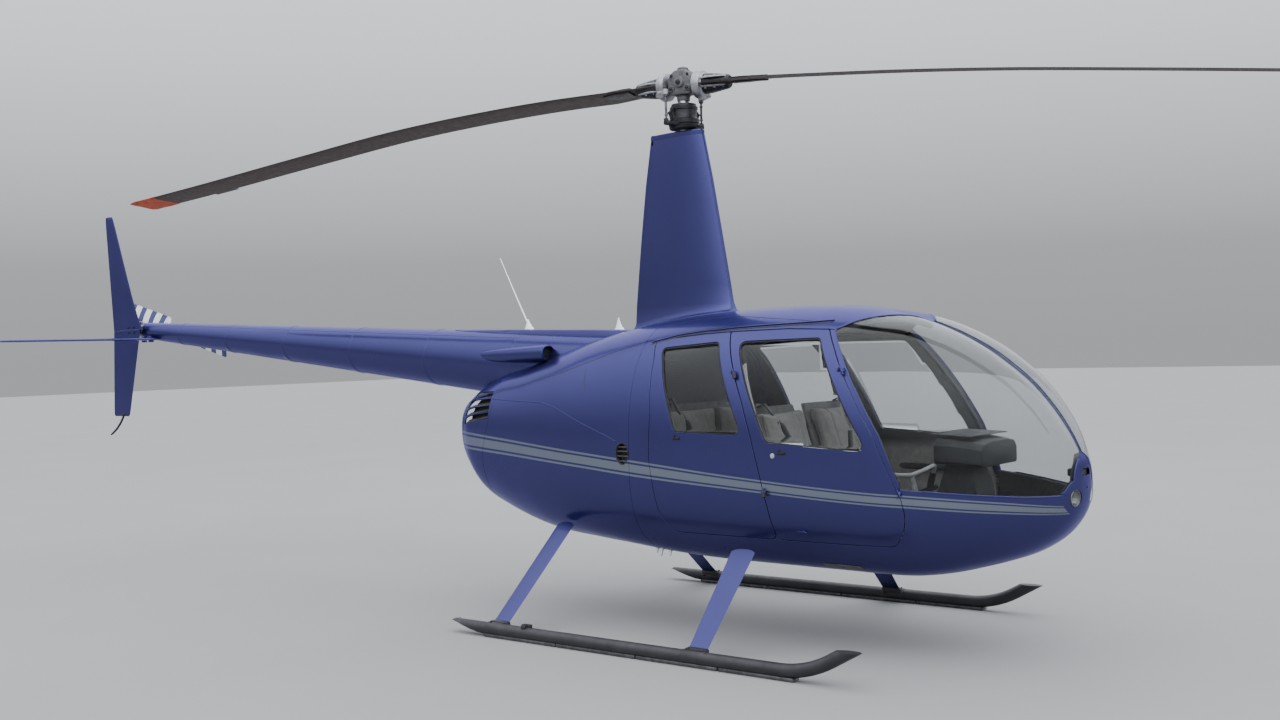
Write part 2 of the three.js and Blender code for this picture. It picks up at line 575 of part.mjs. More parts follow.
// Interior.
[['right', -1], ['left', 1]].forEach(([side, sign]) => {
  const y0 = sign > 0 ? 40 : -500;
  const seat = join(
    box(880, 1330, y0, y0 + 460, 470, 760),
    prism([[900, 740], [1000, 740], [820, 1290], [730, 1290]], y0, y0 + 460),
  );
  const base = box(900, 1300, y0 + 60, y0 + 400, 400, 500).intersect(body(-WALL - GAP));
  add(`front_seat_${side}`, join(seat.intersect(innerSpace), base), ...TRIM);
});
const rearSeat = join(box(230, 700, -520, 520, 450, 760), prism([[110, 740], [260, 740], [190, 1300], [110, 1300]], -520, 520));
const rearBase = box(250, 650, -400, 400, 400, 500).intersect(body(-WALL - GAP));
add('rear_seat', join(rearSeat.intersect(innerSpace), rearBase), ...TRIM);
add('instrument_console', join(box(1640, 1840, -120, 120, 400, 1010), box(1700, 2000, -250, 250, 990, 1140)).intersect(body(-WALL - GAP)), ...DARK);

// The origin goes to the ground under the middle of the whole object's outer box.
const bounds = new THREE.Box3().setFromObject(root, true);
root.position.set(-(bounds.min.x + bounds.max.x) / 2, -(bounds.min.y + bounds.max.y) / 2, -bounds.min.z);
export default root;
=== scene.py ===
import math

import bmesh
import bpy
import numpy as np
from mathutils import Matrix, Vector
from mathutils.bvhtree import BVHTree
from mathutils.geometry import delaunay_2d_cdt

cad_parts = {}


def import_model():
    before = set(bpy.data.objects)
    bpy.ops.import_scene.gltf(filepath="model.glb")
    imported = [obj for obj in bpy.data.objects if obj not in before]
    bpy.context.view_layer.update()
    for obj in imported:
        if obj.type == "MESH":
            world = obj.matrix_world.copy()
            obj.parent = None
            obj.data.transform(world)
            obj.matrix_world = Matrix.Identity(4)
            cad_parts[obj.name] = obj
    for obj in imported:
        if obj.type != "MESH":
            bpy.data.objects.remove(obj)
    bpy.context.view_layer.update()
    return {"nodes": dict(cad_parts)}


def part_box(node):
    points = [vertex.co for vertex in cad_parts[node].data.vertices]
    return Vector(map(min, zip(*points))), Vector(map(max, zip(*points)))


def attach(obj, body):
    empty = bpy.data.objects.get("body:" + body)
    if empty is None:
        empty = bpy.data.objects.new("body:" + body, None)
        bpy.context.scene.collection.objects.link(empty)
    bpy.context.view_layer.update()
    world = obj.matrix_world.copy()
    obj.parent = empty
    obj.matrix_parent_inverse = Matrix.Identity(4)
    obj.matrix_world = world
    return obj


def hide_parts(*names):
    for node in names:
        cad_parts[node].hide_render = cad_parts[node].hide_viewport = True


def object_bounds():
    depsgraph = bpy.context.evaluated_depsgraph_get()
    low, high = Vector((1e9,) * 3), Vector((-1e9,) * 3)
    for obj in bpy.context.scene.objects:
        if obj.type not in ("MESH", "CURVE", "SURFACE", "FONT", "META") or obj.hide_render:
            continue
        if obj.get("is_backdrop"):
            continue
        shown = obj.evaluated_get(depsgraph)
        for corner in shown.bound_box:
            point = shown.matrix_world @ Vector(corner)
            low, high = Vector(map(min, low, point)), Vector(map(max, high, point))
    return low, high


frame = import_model()

# The mast stands at X = 0, Y = 0 in this script's own numbers, in millimetres.
mast_low, mast_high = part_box("main_rotor_mast")
SHIFT = np.array([(mast_low.x + mast_high.x) / 2, (mast_low.y + mast_high.y) / 2, 0.0])
SIDES = (("right", 1), ("left", -1))   # pieces are drawn on the right, and the left ones are mirror images
X, Y, Z = (1, 0, 0), (0, 1, 0), (0, 0, 1)


def world(points):
    return np.atleast_2d(np.asarray(points, float)) / 1000 + SHIFT


def length(v):
    return np.linalg.norm(v, axis=-1, keepdims=True)


def unit(v):
    v = np.asarray(v, float)
    return v / np.linalg.norm(v)


def around(n):
    """n angles round a full circle."""
    return np.linspace(0, 2 * math.pi, n, endpoint=False)


def linked(name, data):
    obj = bpy.data.objects.new(name, data)
    bpy.context.scene.collection.objects.link(obj)
    return obj


# ---- materials ----
def material(name, color, rough=0.5, metal=0.0, **sockets):
    m = bpy.data.materials.new(name)
    m.use_nodes = True
    b = m.node_tree.nodes["Principled BSDF"]
    b.inputs["Base Color"].default_value = (*color, 1)
    b.inputs["Roughness"].default_value = rough
    b.inputs["Metallic"].default_value = metal
    for key, value in sockets.items():
        b.inputs[key.replace("_", " ")].default_value = value
    return m


class Nodes:
    """Short calls that add and link shader nodes."""

    def __init__(self, mat):
        self.t = mat.node_tree
        self.b = self.t.nodes["Principled BSDF"]

    def add(self, kind, **values):
        n = self.t.nodes.new(kind)
        for k, v in values.items():
            setattr(n, k, v)
        return n

    def link(self, a, b):
        self.t.links.new(a, b)

    def put(self, socket, value):
        if hasattr(value, "is_output"):
            self.link(value, socket)
        else:
            socket.default_value = value

    def math(self, op, a, b=0.0):
        n = self.add("ShaderNodeMath", operation=op)
        self.put(n.inputs[0], a)
        self.put(n.inputs[1], b)
        return n.outputs[0]

    def coords(self):
        return self.add("ShaderNodeTexCoord").outputs["Object"]

    def xyz(self):
        n = self.add("ShaderNodeSeparateXYZ")
        self.link(self.coords(), n.inputs[0])
        return n.outputs

    def noise(self, scale, detail=3.0, rough=0.5):
        n = self.add("ShaderNodeTexNoise")
        for key, value in (("Scale", scale), ("Detail", detail), ("Roughness", rough)):
            n.inputs[key].default_value = value
        self.link(self.coords(), n.inputs["Vector"])
        return n.outputs[0]

    def patches(self, scale, detail, rough=0.5, low=0.0, high=1.0):
        """Soft patches of noise, from low to high."""
        return self.ramp(self.noise(scale, detail, rough), 0.3, 0.7, low, high)

    def mix(self, fac, a, b):
        n = self.add("ShaderNodeMix", data_type="RGBA")
        self.put(n.inputs[0], fac)
        self.put(n.inputs[6], (*a, 1) if isinstance(a, tuple) else a)
        self.put(n.inputs[7], (*b, 1) if isinstance(b, tuple) else b)
        return n.outputs[2]

    def ramp(self, value, low, high, out_low=0.0, out_high=1.0):
        n = self.add("ShaderNodeMapRange")
        self.put(n.inputs[0], value)
        for i, v in enumerate((low, high, out_low, out_high)):
            n.inputs[i + 1].default_value = v
        return n.outputs[0]

    def color(self, value):
        self.put(self.b.inputs["Base Color"], value)

    def rough(self, value):
        self.put(self.b.inputs["Roughness"], value)

    def bump(self, height, strength=0.2, distance=0.001):
        n = self.add("ShaderNodeBump")
        n.inputs["Strength"].default_value = strength
        n.inputs["Distance"].default_value = distance
        self.link(height, n.inputs["Height"])
        self.link(n.outputs[0], self.b.inputs["Normal"])


def scaled(color, by, plus=0.0):
    return tuple(min(1, c * by + plus) for c in color)


def worn(name, color, rough=0.5, metal=0.0, scale=18.0, spread=0.25, bump=0.05, fine=180.0):
    """A plain finish with soft patches of lighter and darker colour, uneven gloss and a fine grain."""
    m = material(name, color, rough, metal)
    n = Nodes(m)
    n.color(n.mix(n.patches(scale, 5, 0.6), scaled(color, 1 - spread), scaled(color, 1 + spread, 0.01)))
    n.rough(n.patches(scale * 3, 4, 0.5, rough * 0.82, min(1, rough * 1.2)))
    n.bump(n.noise(fine, 2), bump, 0.0006)
    return m


BLUE = (0.036, 0.036, 0.126)
GREY = (0.17, 0.195, 0.235)
# The stripes' upper and lower edges on the right side, as (x, z) points.
STRIPE_TOP = [(-1700, 1125), (-550, 1044), (-97, 1007), (94, 991), (775, 929), (1604, 873), (1707, 869), (2117, 836),
    (2360, 806)]
STRIPE_LOW = [(-1700, 1010), (-550, 952), (90, 902), (771, 858), (1600, 810), (1703, 806), (2111, 778), (2349, 763)]
STRIPE_SPAN = -1.7 + SHIFT[0], 2.4 + SHIFT[0]   # metres along the hull
STRIPE_BASE = 0.5                               # metres above the ground
STRIPE_END = 2.365 + SHIFT[0]
STRIPE_BANDS = ((0.0, 0.13), (0.25, 0.75), (0.87, 1.0))


def line_curve(n, x, line):
    """The height of a stripe edge (metres) at x, from its bends."""
    node = n.add("ShaderNodeFloatCurve")
    low, high = STRIPE_SPAN
    curve = node.mapping.curves[0]
    pts = [((px / 1000 + SHIFT[0] - low) / (high - low), pz / 1000 - STRIPE_BASE) for px, pz in line]
    curve.points[0].location = pts[0]
    curve.points[1].location = pts[-1]
    for p in pts[1:-1]:
        curve.points.new(*p)
    for p in curve.points:
        p.handle_type = "AUTO"
    node.mapping.update()
    n.put(node.inputs["Value"], n.ramp(x, low, high))
    return n.math("ADD", node.outputs[0], STRIPE_BASE)


def paint(name, stripes=False):
    m = material(name, BLUE, 0.32, 0.86, Coat_Weight=0.25, Specular_Tint=(0.50, 0.49, 0.92, 1), Coat_Roughness=0.12,
        Coat_IOR=1.45)
    n = Nodes(m)
    flake = n.ramp(n.noise(2600, 1), 0.45, 0.75)
    haze = n.patches(2.3, 4)
    base = n.mix(n.math("MULTIPLY", flake, 0.35), BLUE, scaled(BLUE, 1.8, 0.004))
    base = n.mix(n.math("MULTIPLY", haze, 0.16), base, scaled(BLUE, 1.3, 0.002))
    if stripes:
        x, _, z = n.xyz()
        top, low = line_curve(n, x, STRIPE_TOP), line_curve(n, x, STRIPE_LOW)
        place = n.math("DIVIDE", n.math("SUBTRACT", z, low), n.math("SUBTRACT", top, low))
        mask = 0.0
        for a, b in STRIPE_BANDS:
            band = n.math("MULTIPLY", n.math("GREATER_THAN", place, a), n.math("LESS_THAN", place, b))
            mask = n.math("ADD", band, mask)
        # The stripes end on a slant at the nose.
        slant = n.math("MULTIPLY", n.math("SUBTRACT", z, 0.79), 0.25)
        ahead = n.math("ADD", n.math("SUBTRACT", x, STRIPE_END), slant)
        mask = n.math("MULTIPLY", mask, n.math("LESS_THAN", ahead, 0.0))
        base = n.mix(mask, base, GREY)
    n.color(base)
    n.rough(n.patches(5, 4, 0.5, 0.27, 0.35))
    n.bump(n.noise(6, 2), 0.02, 0.003)
    return m


PAINT = paint("blue_metallic_paint")
HULL_PAINT = paint("blue_paint_with_stripes", True)
DARK = worn("dark_satin_metal", (0.018, 0.019, 0.022), 0.45, 0.6)
BLADE = worn("blade_grey", (0.045, 0.047, 0.052), 0.5, 0.3, 7.0, 0.3)
SKID = worn("skid_grey_black", (0.015, 0.0142, 0.017), 0.5, 0.2, 9.0, 0.12)
BARE = worn("bare_aluminium", (0.52, 0.53, 0.55), 0.34, 0.95, 30.0, 0.12)
CAST = worn("cast_engine_metal", (0.30, 0.30, 0.31), 0.55, 0.8, 22.0, 0.3, 0.3, 120.0)
WHITE = worn("white_enamel", (0.86, 0.87, 0.88), 0.3, 0.0, 9.0, 0.05)
RUBBER = worn("black_rubber", (0.012, 0.012, 0.013), 0.75, 0.0, 25.0, 0.3, 0.2)
PLASTIC = worn("dark_cabin_plastic", (0.016, 0.0165, 0.018), 0.62, 0.0, 40.0, 0.2, 0.1, 420.0)
HEADLINER = worn("grey_headliner", (0.14, 0.14, 0.14), 0.9, 0.0, 60.0, 0.12, 0.3, 700.0)
STEEL = worn("steel_fitting", (0.38, 0.39, 0.40), 0.3, 1.0, 50.0, 0.15)
RUST = worn("orange_red_cloth", (0.46, 0.075, 0.03), 0.85, 0.0, 25.0, 0.3, 0.4, 300.0)


def glass(name, tint):
    m = material(name, tint, 0.0, 0.0, Transmission_Weight=1.0, IOR=1.25)
    n = Nodes(m)
    n.color(n.mix(n.patches(1.5, 2), tint, scaled(tint, 0.95)))
    return m


GLASS = glass("smoked_acrylic", (0.78, 0.80, 0.80))
LAMP = glass("lamp_glass", (0.9, 0.92, 0.93))


def cloth_material(name, color, scale=2600.0, spread=0.16):
    """Woven cloth: scale is the weave's threads, in radians for each metre."""
    m = material(name, color, 0.92, 0.0, Sheen_Weight=0.35, Sheen_Roughness=0.5)
    n = Nodes(m)
    x, y, z = n.xyz()
    w1 = n.math("SINE", n.math("MULTIPLY", n.math("ADD", x, z), scale))
    w2 = n.math("SINE", n.math("MULTIPLY", n.math("SUBTRACT", y, z), scale))
    weave = n.math("MULTIPLY", w1, w2)
    tone = n.mix(n.patches(35, 6, 0.7), scaled(color, 1 - spread), scaled(color, 1 + spread))
    n.color(n.mix(n.ramp(weave, -1, 1, 0.0, 0.16), tone, scaled(color, 0.5)))
    n.bump(weave, 0.12, 0.0003)
    return m


def door_trim():
    """Warm grey below the window line and dark above it."""
    m = material("door_trim_vinyl", (0.2, 0.19, 0.18), 0.7, 0.0)
    n = Nodes(m)
    top = n.ramp(n.xyz()[2], 1.0, 1.06)
    tone = n.mix(n.patches(30, 5, 0.6), (0.15, 0.145, 0.135), (0.23, 0.22, 0.205))
    n.color(n.mix(top, tone, (0.022, 0.022, 0.024)))
    n.bump(n.noise(420, 2), 0.3, 0.0006)
    return m


SEAT = cloth_material("seat_cloth", (0.27, 0.255, 0.235))
SEAT_SIDE = worn("seat_vinyl", (0.16, 0.155, 0.15), 0.6, 0.0, 30.0, 0.2, 0.3, 350.0)
BELT = cloth_material("belt_webbing", (0.02, 0.02, 0.024), 2200.0)
CARPET = cloth_material("floor_carpet", (0.05, 0.052, 0.058), 1400.0)

CAST_HUB = worn("rotor_head_casting", (0.115, 0.115, 0.12), 0.6, 0.7, 22.0, 0.35, 0.3, 140.0)
GRIP = worn("blade_grip_metal", (0.30, 0.30, 0.32), 0.42, 0.9, 26.0, 0.22, 0.15, 160.0)
LAMP_BOWL = worn("lamp_bowl_metal", (0.16, 0.17, 0.165), 0.4, 0.7, 30.0, 0.15)
DOOR_TRIM = door_trim()
DIAL = worn("dial_black", (0.008, 0.008, 0.009), 0.3, 0.0, 20.0, 0.1)
WHITE_WORN = worn("worn_grey_enamel", (0.33, 0.33, 0.32), 0.45, 0.1, 25.0, 0.2, 0.1, 200.0)
STEEL_DARK = worn("worn_shoe_steel", (0.10, 0.10, 0.105), 0.45, 0.9, 30.0, 0.4, 0.3, 120.0)


def blade_look():
    """Dark grey, lighter and browner on downward faces as a painted reflection of the ground."""
    m = material("blade_dark_grey", (0.045, 0.047, 0.052), 0.6, 0.0, Specular_IOR_Level=0.3)
    n = Nodes(m)
    tone = n.mix(n.patches(6, 6, 0.65), (0.015, 0.0155, 0.018), (0.026, 0.0265, 0.030))
    geo = n.add("ShaderNodeNewGeometry")
    sep = n.add("ShaderNodeSeparateXYZ")
    n.link(geo.outputs["Normal"], sep.inputs[0])
    # Downward-facing faces are painted lighter and browner: painted reflected light from the ground.
    under = n.ramp(sep.outputs[2], -0.55, -0.05, 0.75, 0.0)
    n.color(n.mix(under, tone, (0.060, 0.036, 0.032)))
    n.rough(n.patches(30, 4, 0.5, 0.52, 0.68))
    n.bump(n.noise(220, 2), 0.05, 0.0005)
    return m


def tail_paint():
    """White tail blades with dark blue bands, measured out from the tail rotor's axis."""
    m = material("tail_blade_white", (0.72, 0.73, 0.74), 0.32, 0.0)
    n = Nodes(m)
    x, _, z = n.xyz()
    dx, dz = n.math("SUBTRACT", x, -5.89 + SHIFT[0]), n.math("SUBTRACT", z, 1.895)
    far = n.math("SQRT", n.math("ADD", n.math("MULTIPLY", dx, dx), n.math("MULTIPLY", dz, dz)))
    band = n.math("LESS_THAN", n.math("MODULO", n.math("SUBTRACT", far, 0.205), 0.156), 0.072)
    band = n.math("MULTIPLY", band, n.math("GREATER_THAN", far, 0.205))
    dirt = n.mix(n.ramp(n.noise(14, 5), 0.35, 0.75), (0.76, 0.77, 0.78), (0.62, 0.63, 0.64))
    n.color(n.mix(band, dirt, (0.02, 0.03, 0.13)))
    n.rough(n.patches(20, 3, 0.5, 0.25, 0.4))
    return m


BLADE_LOOK = blade_look()
TAIL_PAINT = tail_paint()

# ---- the body's smooth surface ----
# Each section: x, lowest z, highest z, height of the belt line, half width, depth of the crown's valley and
# power below the belt.
SECTIONS = np.array([
    (-1682, 1060, 1180, 1120, 60, 0, 2.0), (-1680, 960, 1270, 1120, 165, 0, 2.0), (-1676, 871, 1330, 1120, 257, 0, 2.0),
    (-1661, 800, 1350, 1115, 298, 0, 2.0), (-1616, 735, 1375, 1105, 325, 0, 2.0), (-1540, 665, 1420, 1100, 364, 0, 2.0),
    (-1350, 585, 1500, 1080, 414, 0, 2.0), (-1100, 518, 1560, 1060, 467, 0, 2.17),
    (-870, 480, 1620, 1040, 518, 0, 2.32),
    (-540, 459, 1705, 1020, 580, 0, 2.54), (-220, 440, 1764, 1000, 610, 0, 2.75), (70, 420, 1805, 1000, 628, 0, 2.9),
    (400, 405, 1830, 1000, 638, 0, 2.9), (900, 400, 1840, 1000, 640, 0, 2.9), (1230, 398, 1826, 1000, 638, 5, 2.9),
    (1410, 396, 1797, 1000, 632, 15, 2.9), (1590, 400, 1760, 990, 612, 25, 2.9), (1760, 424, 1696, 975, 573, 28, 2.83),
    (1920, 464, 1613, 955, 515, 30, 2.64), (2030, 497, 1538, 940, 458, 32, 2.5), (2135, 534, 1453, 925, 391, 34, 2.38),
    (2216, 576, 1366, 910, 335, 34, 2.3), (2287, 626, 1272, 900, 277, 32, 2.3), (2343, 685, 1178, 890, 216, 28, 2.3),
    (2384, 748, 1082, 885, 150, 15, 2.3), (2408, 818, 1003, 882, 75, 0, 2.3), (2415, 878, 888, 882, 6, 0, 2.3),
], float)


def hermite(t, h, a, b, slope_a, slope_b):
    """The smooth curve from a to b, a step h apart, at the share t."""
    return ((2 * t**3 - 3 * t**2 + 1) * a + (t**3 - 2 * t**2 + t) * h * slope_a
            + (3 * t**2 - 2 * t**3) * b + (t**3 - t**2) * h * slope_b)


def hermite_table(rows, steps=24):
    """Smooth curve through the rows, sampled finely, with the parameter running along the rows."""
    knots = np.r_[0, np.cumsum(np.sqrt(np.linalg.norm(np.diff(rows[:, [0, 1, 2, 4]], axis=0), axis=1)))]
    h = np.diff(knots)
    d = np.diff(rows, axis=0) / h[:, None]
    slope = np.zeros_like(rows)
    slope[1:-1] = (d[:-1] * h[1:, None] + d[1:] * h[:-1, None]) / (h[:-1] + h[1:])[:, None]
    slope[0], slope[-1] = d[0], d[-1]
    t = np.linspace(0, 1, steps, endpoint=False)[:, None]
    spans = zip(h, rows, rows[1:], slope, slope[1:])
    return np.vstack([hermite(t, *span) for span in spans] + [rows[-1:]])


HULL = hermite_table(SECTIONS)
HULL[:, 0] = np.maximum.accumulate(HULL[:, 0] + np.arange(len(HULL)) * 1e-6)
RUN = np.r_[0, np.cumsum(np.linalg.norm(np.diff(HULL[:, [0, 2]], axis=0), axis=1))]
UPPER = 2.6     # power of the section above the belt line
VALLEY = 90.0   # half width of the crown's valley
TOP = math.pi / 2
WIDE = 560.0    # millimetres for one radian of angle in the flat (run, angle) plane, where outlines are drawn


def rows_at(run):
    run = np.asarray(run, float)
    return [np.interp(run, RUN, HULL[:, k]) for k in range(7)]


def run_of(x):
    return np.interp(x, HULL[:, 0], RUN)


def surface(run, angle):
    """Points on the body: run along the crown (mm) and angle about the belt line (0 on the left, 90 degrees on top)."""
    x, low, top, belt, half, valley, power = rows_at(run)
    c, s = np.cos(angle), np.sin(angle)
    n = np.where(s >= 0, UPPER, power)
    height = np.where(s >= 0, top - belt, belt - low)
    r = (np.abs(c / np.maximum(half, 1e-6))**n + np.abs(s / np.maximum(height, 1e-6))**n)**(-1 / n)
    y, z = r * c, belt + r * s
    z = z - np.where(s > 0, valley * np.exp(-(y / VALLEY)**2) * np.clip(s, 0, 1), 0)
    return np.stack([x, y, z], -1)


def surface_normal(run, angle):
    du = surface(run + 2, angle) - surface(run - 2, angle)
    dv = surface(run, angle + 0.004) - surface(run, angle - 0.004)
    n = np.cross(dv, du)
    n /= np.maximum(length(n), 1e-9)
    centre = surface(run, angle) - np.stack([surface(run, angle)[..., 0], 0 * n[..., 0], rows_at(run)[3]], -1)
    flip = np.sign((n * centre).sum(-1, keepdims=True))
    return n * np.where(flip == 0, 1, flip)


def on_body(where):
    """The body's surface points and outward normals at rows of (run, angle)."""
    return surface(where[:, 0], where[:, 1]), surface_normal(where[:, 0], where[:, 1])


def from_side(points):
    """Side-view points (x, z) on the right side as (run, angle)."""
    p = np.asarray(points, float)
    run = run_of(p[:, 0])
    _, low, top, belt, half, _, power = rows_at(run)
    up = p[:, 1] >= belt
    n = np.where(up, UPPER, power)
    w = np.where(up, (p[:, 1] - belt) / (top - belt), (belt - p[:, 1]) / (belt - low))
    y = half * np.maximum(1 - np.clip(w, 0, 0.9999)**n, 0)**(1 / n)
    return np.stack([run, math.pi - np.arctan2(p[:, 1] - belt, y)], -1)


def from_top(points):
    """Plan-view points (x, y) on the upper side as (run, angle)."""
    p = np.asarray(points, float)
    run = run_of(p[:, 0])
    _, _, top, belt, half, _, _ = rows_at(run)
    z = (top - belt) * np.maximum(1 - np.clip(np.abs(p[:, 1]) / half, 0, 0.9999)**UPPER, 0)**(1 / UPPER)
    return np.stack([run, np.arctan2(z, p[:, 1])], -1)


def flat(where):
    """Rows of (run, angle) in the flat plane, in millimetres."""
    where = np.asarray(where, float)
    return np.stack([where[:, 0], where[:, 1] * WIDE], 1)


def unflat(uv):
    return np.stack([uv[:, 0], uv[:, 1] / WIDE], 1)


NOSE_Z = 883   # height of the nose's tip


def at_nose(points):
    """Front-view points (y, z) on the nose as (run, angle)."""
    out = []
    for y, z in points:
        angle = math.atan2(z - NOSE_Z, y)
        want = math.hypot(y, z - NOSE_Z)
        low, high = run_of(2000.0), RUN[-1]
        for _ in range(40):
            mid = (low + high) / 2
            p = surface(np.array([mid]), np.array([angle]))[0]
            if math.hypot(p[1], p[2] - NOSE_Z) > want:
                low = mid
            else:
                high = mid
        out.append(((low + high) / 2, angle if angle > 0 else angle + 2 * math.pi))
    return np.array(out)


# ---- meshes ----
def piece(name, verts, faces, mats, body="fuselage", replaces=(), normals=None):
    """A mesh piece from points in millimetres, riding a body. normals are one unit vector for each vertex."""
    mats = mats if isinstance(mats, (list, tuple)) else [mats]
    mesh = bpy.data.meshes.new(name)
    mesh.from_pydata([tuple(v) for v in world(verts)], [], [tuple(int(i) for i in f) for f in faces])
    mesh.validate()
    mesh.polygons.foreach_set("use_smooth", [True] * len(mesh.polygons))
    for m in mats:
        mesh.materials.append(m)
    obj = linked(name, mesh)
    if normals is not None:
        mesh.normals_split_custom_set_from_vertices([tuple(v) for v in normals])
    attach(obj, body)
    if replaces:
        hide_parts(*([replaces] if isinstance(replaces, str) else replaces))
    return obj


def pair(name, pts, faces, mats, body="fuselage", replaces=(), normals=None):
    """A piece on the right side and its mirror image on the left."""
    for side, sign in SIDES:
        f = faces if sign > 0 else [q[::-1] for q in faces]
        n = None if normals is None else normals * (1, sign, 1)
        piece(f"{name}_{side}", pts * (1, sign, 1), f, mats, body.format(side=side),
            [r.format(side=side) for r in replaces], n)


def densify(points, step, closed=True):
    p = np.asarray(points, float)
    out = []
    n = len(p)
    for i in range(n if closed else n - 1):
        a, b = p[i], p[(i + 1) % n]
        k = max(1, int(math.ceil(np.linalg.norm(b - a) / step)))
        for j in range(k):
            out.append(a + (b - a) * j / k)
    if not closed:
        out.append(p[-1])
    return np.array(out)


def rounded(points, radius, steps=5):
    """The outline with each corner rounded. radius is one number or one for each corner."""
    p = np.asarray(points, float)
    n = len(p)
    radii = [radius] * n if np.isscalar(radius) else radius
    out = []
    for i in range(n):
        a, b, c = p[i - 1], p[i], p[(i + 1) % n]
        u, v = a - b, c - b
        lu, lv = np.linalg.norm(u), np.linalg.norm(v)
        u, v = u / lu, v / lv
        turn = math.pi - math.acos(max(-1, min(1, float(u @ v))))
        cut = min(radii[i] * math.tan(turn / 2), lu * 0.45, lv * 0.45)
        if cut < 1:
            out.append(b)
            continue
        for j in range(steps + 1):
            t = j / steps
            out.append((1 - t)**2 * (b + u * cut) + 2 * t * (1 - t) * b + t**2 * (b + v * cut))
    return np.array(out)


def signed_area(p):
    return 0.5 * np.sum(p[:, 0] * np.roll(p[:, 1], -1) - np.roll(p[:, 0], -1) * p[:, 1])


def inset(points, distance):
    """The closed outline moved inwards by distance."""
    p = np.asarray(points, float)
    sign = 1 if signed_area(p) > 0 else -1
    before, after = p - np.roll(p, 1, 0), np.roll(p, -1, 0) - p

    def normal(d):
        d = d / np.maximum(length(d), 1e-9)
        return np.stack([-d[:, 1], d[:, 0]], 1) * sign

    n1, n2 = normal(before), normal(after)
    m = n1 + n2
    m = m / np.maximum((m * n1).sum(1, keepdims=True), 0.35)
    return p + m * distance


def inside(points, loop):
    x, y = points[:, 0], points[:, 1]
    hit = np.zeros(len(points), bool)
    for (x0, y0), (x1, y1) in zip(loop, np.roll(loop, -1, 0)):
        cross = ((y0 > y) != (y1 > y)) & (x < (x1 - x0) * (y - y0) / (y1 - y0 + 1e-12) + x0)
        hit ^= cross
    return hit


def grid_over(outline, step):
    """Staggered rows of points over an outline's box."""
    low, high = outline.min(0), outline.max(0)
    axes = np.arange(low[0], high[0], step), np.arange(low[1], high[1], step)
    grid = np.stack(np.meshgrid(*axes), -1).reshape(-1, 2)
    grid[:, 0] += (np.round((grid[:, 1] - low[1]) / step) % 2) * step / 2
    return grid


def triangulate(loops, extra, tolerance):
    """Triangles over the loops' points and the extra ones. The loops' edges are kept."""
    pts, edges = [], []
    for loop in loops:
        start, n = len(pts), len(loop)
        edges += [(start + i, start + (i + 1) % n) for i in range(n)]
        pts += list(loop)
    v, _, f, _, _, _ = delaunay_2d_cdt([Vector(p) for p in [*pts, *extra]], edges, [], 0, tolerance)
    return np.array([tuple(p) for p in v]), np.array([t for t in f if len(t) == 3])


def fill(outline, step):
    """Triangles over an outline, with points inside it about a step apart."""
    grid = grid_over(outline, step)
    v, f = triangulate([outline], grid[inside(grid, inset(outline, step * 0.45))], 1e-4)
    return v, f[inside(v[f].mean(1), outline)]


def region(outer, holes, step):
    """Triangles inside the outer outline and outside every hole, and the closed rows of points along their edges."""

    def covered(points):
        hit = inside(points, outer)
        for hole in holes:
            hit &= ~inside(points, hole)
        return hit

    loops = [outer, *holes]
    near = np.vstack(loops)
    grid = grid_over(outer, step)
    grid = grid[covered(grid)]
    far = np.array([np.min(np.sum((near - g)**2, 1)) > (step * 0.42)**2 for g in grid], bool)
    v, f = triangulate(loops, grid[far], 1e-3)
    ok = covered(v[f].mean(1))
    p, q, r = v[f[:, 0]], v[f[:, 1]], v[f[:, 2]]
    area = (q[:, 0] - p[:, 0]) * (r[:, 1] - p[:, 1]) - (q[:, 1] - p[:, 1]) * (r[:, 0] - p[:, 0])
    ok &= np.abs(area) > 0.02
    f, area = f[ok], area[ok]
    f = np.where((area > 0)[:, None], f, f[:, ::-1])
    used, f = np.unique(f, return_inverse=True)
    v, f = v[used], f.reshape(-1, 3)
    half = {(int(t[i]), int(t[(i + 1) % 3])) for t in f for i in range(3)}
    after = {}
    for x, y in half:
        if (y, x) not in half:
            after.setdefault(x, []).append(y)
    rows = []
    while after:
        start = next(iter(after))
        row, at = [start], after[start].pop()
        if not after[start]:
            del after[start]
        while at != start:
            row.append(at)
            if at not in after:
                break
            nxt = after[at].pop()
            if not after[at]:
                del after[at]
            at = nxt
        if len(row) > 2:
            rows.append(row)
    return v, f, rows


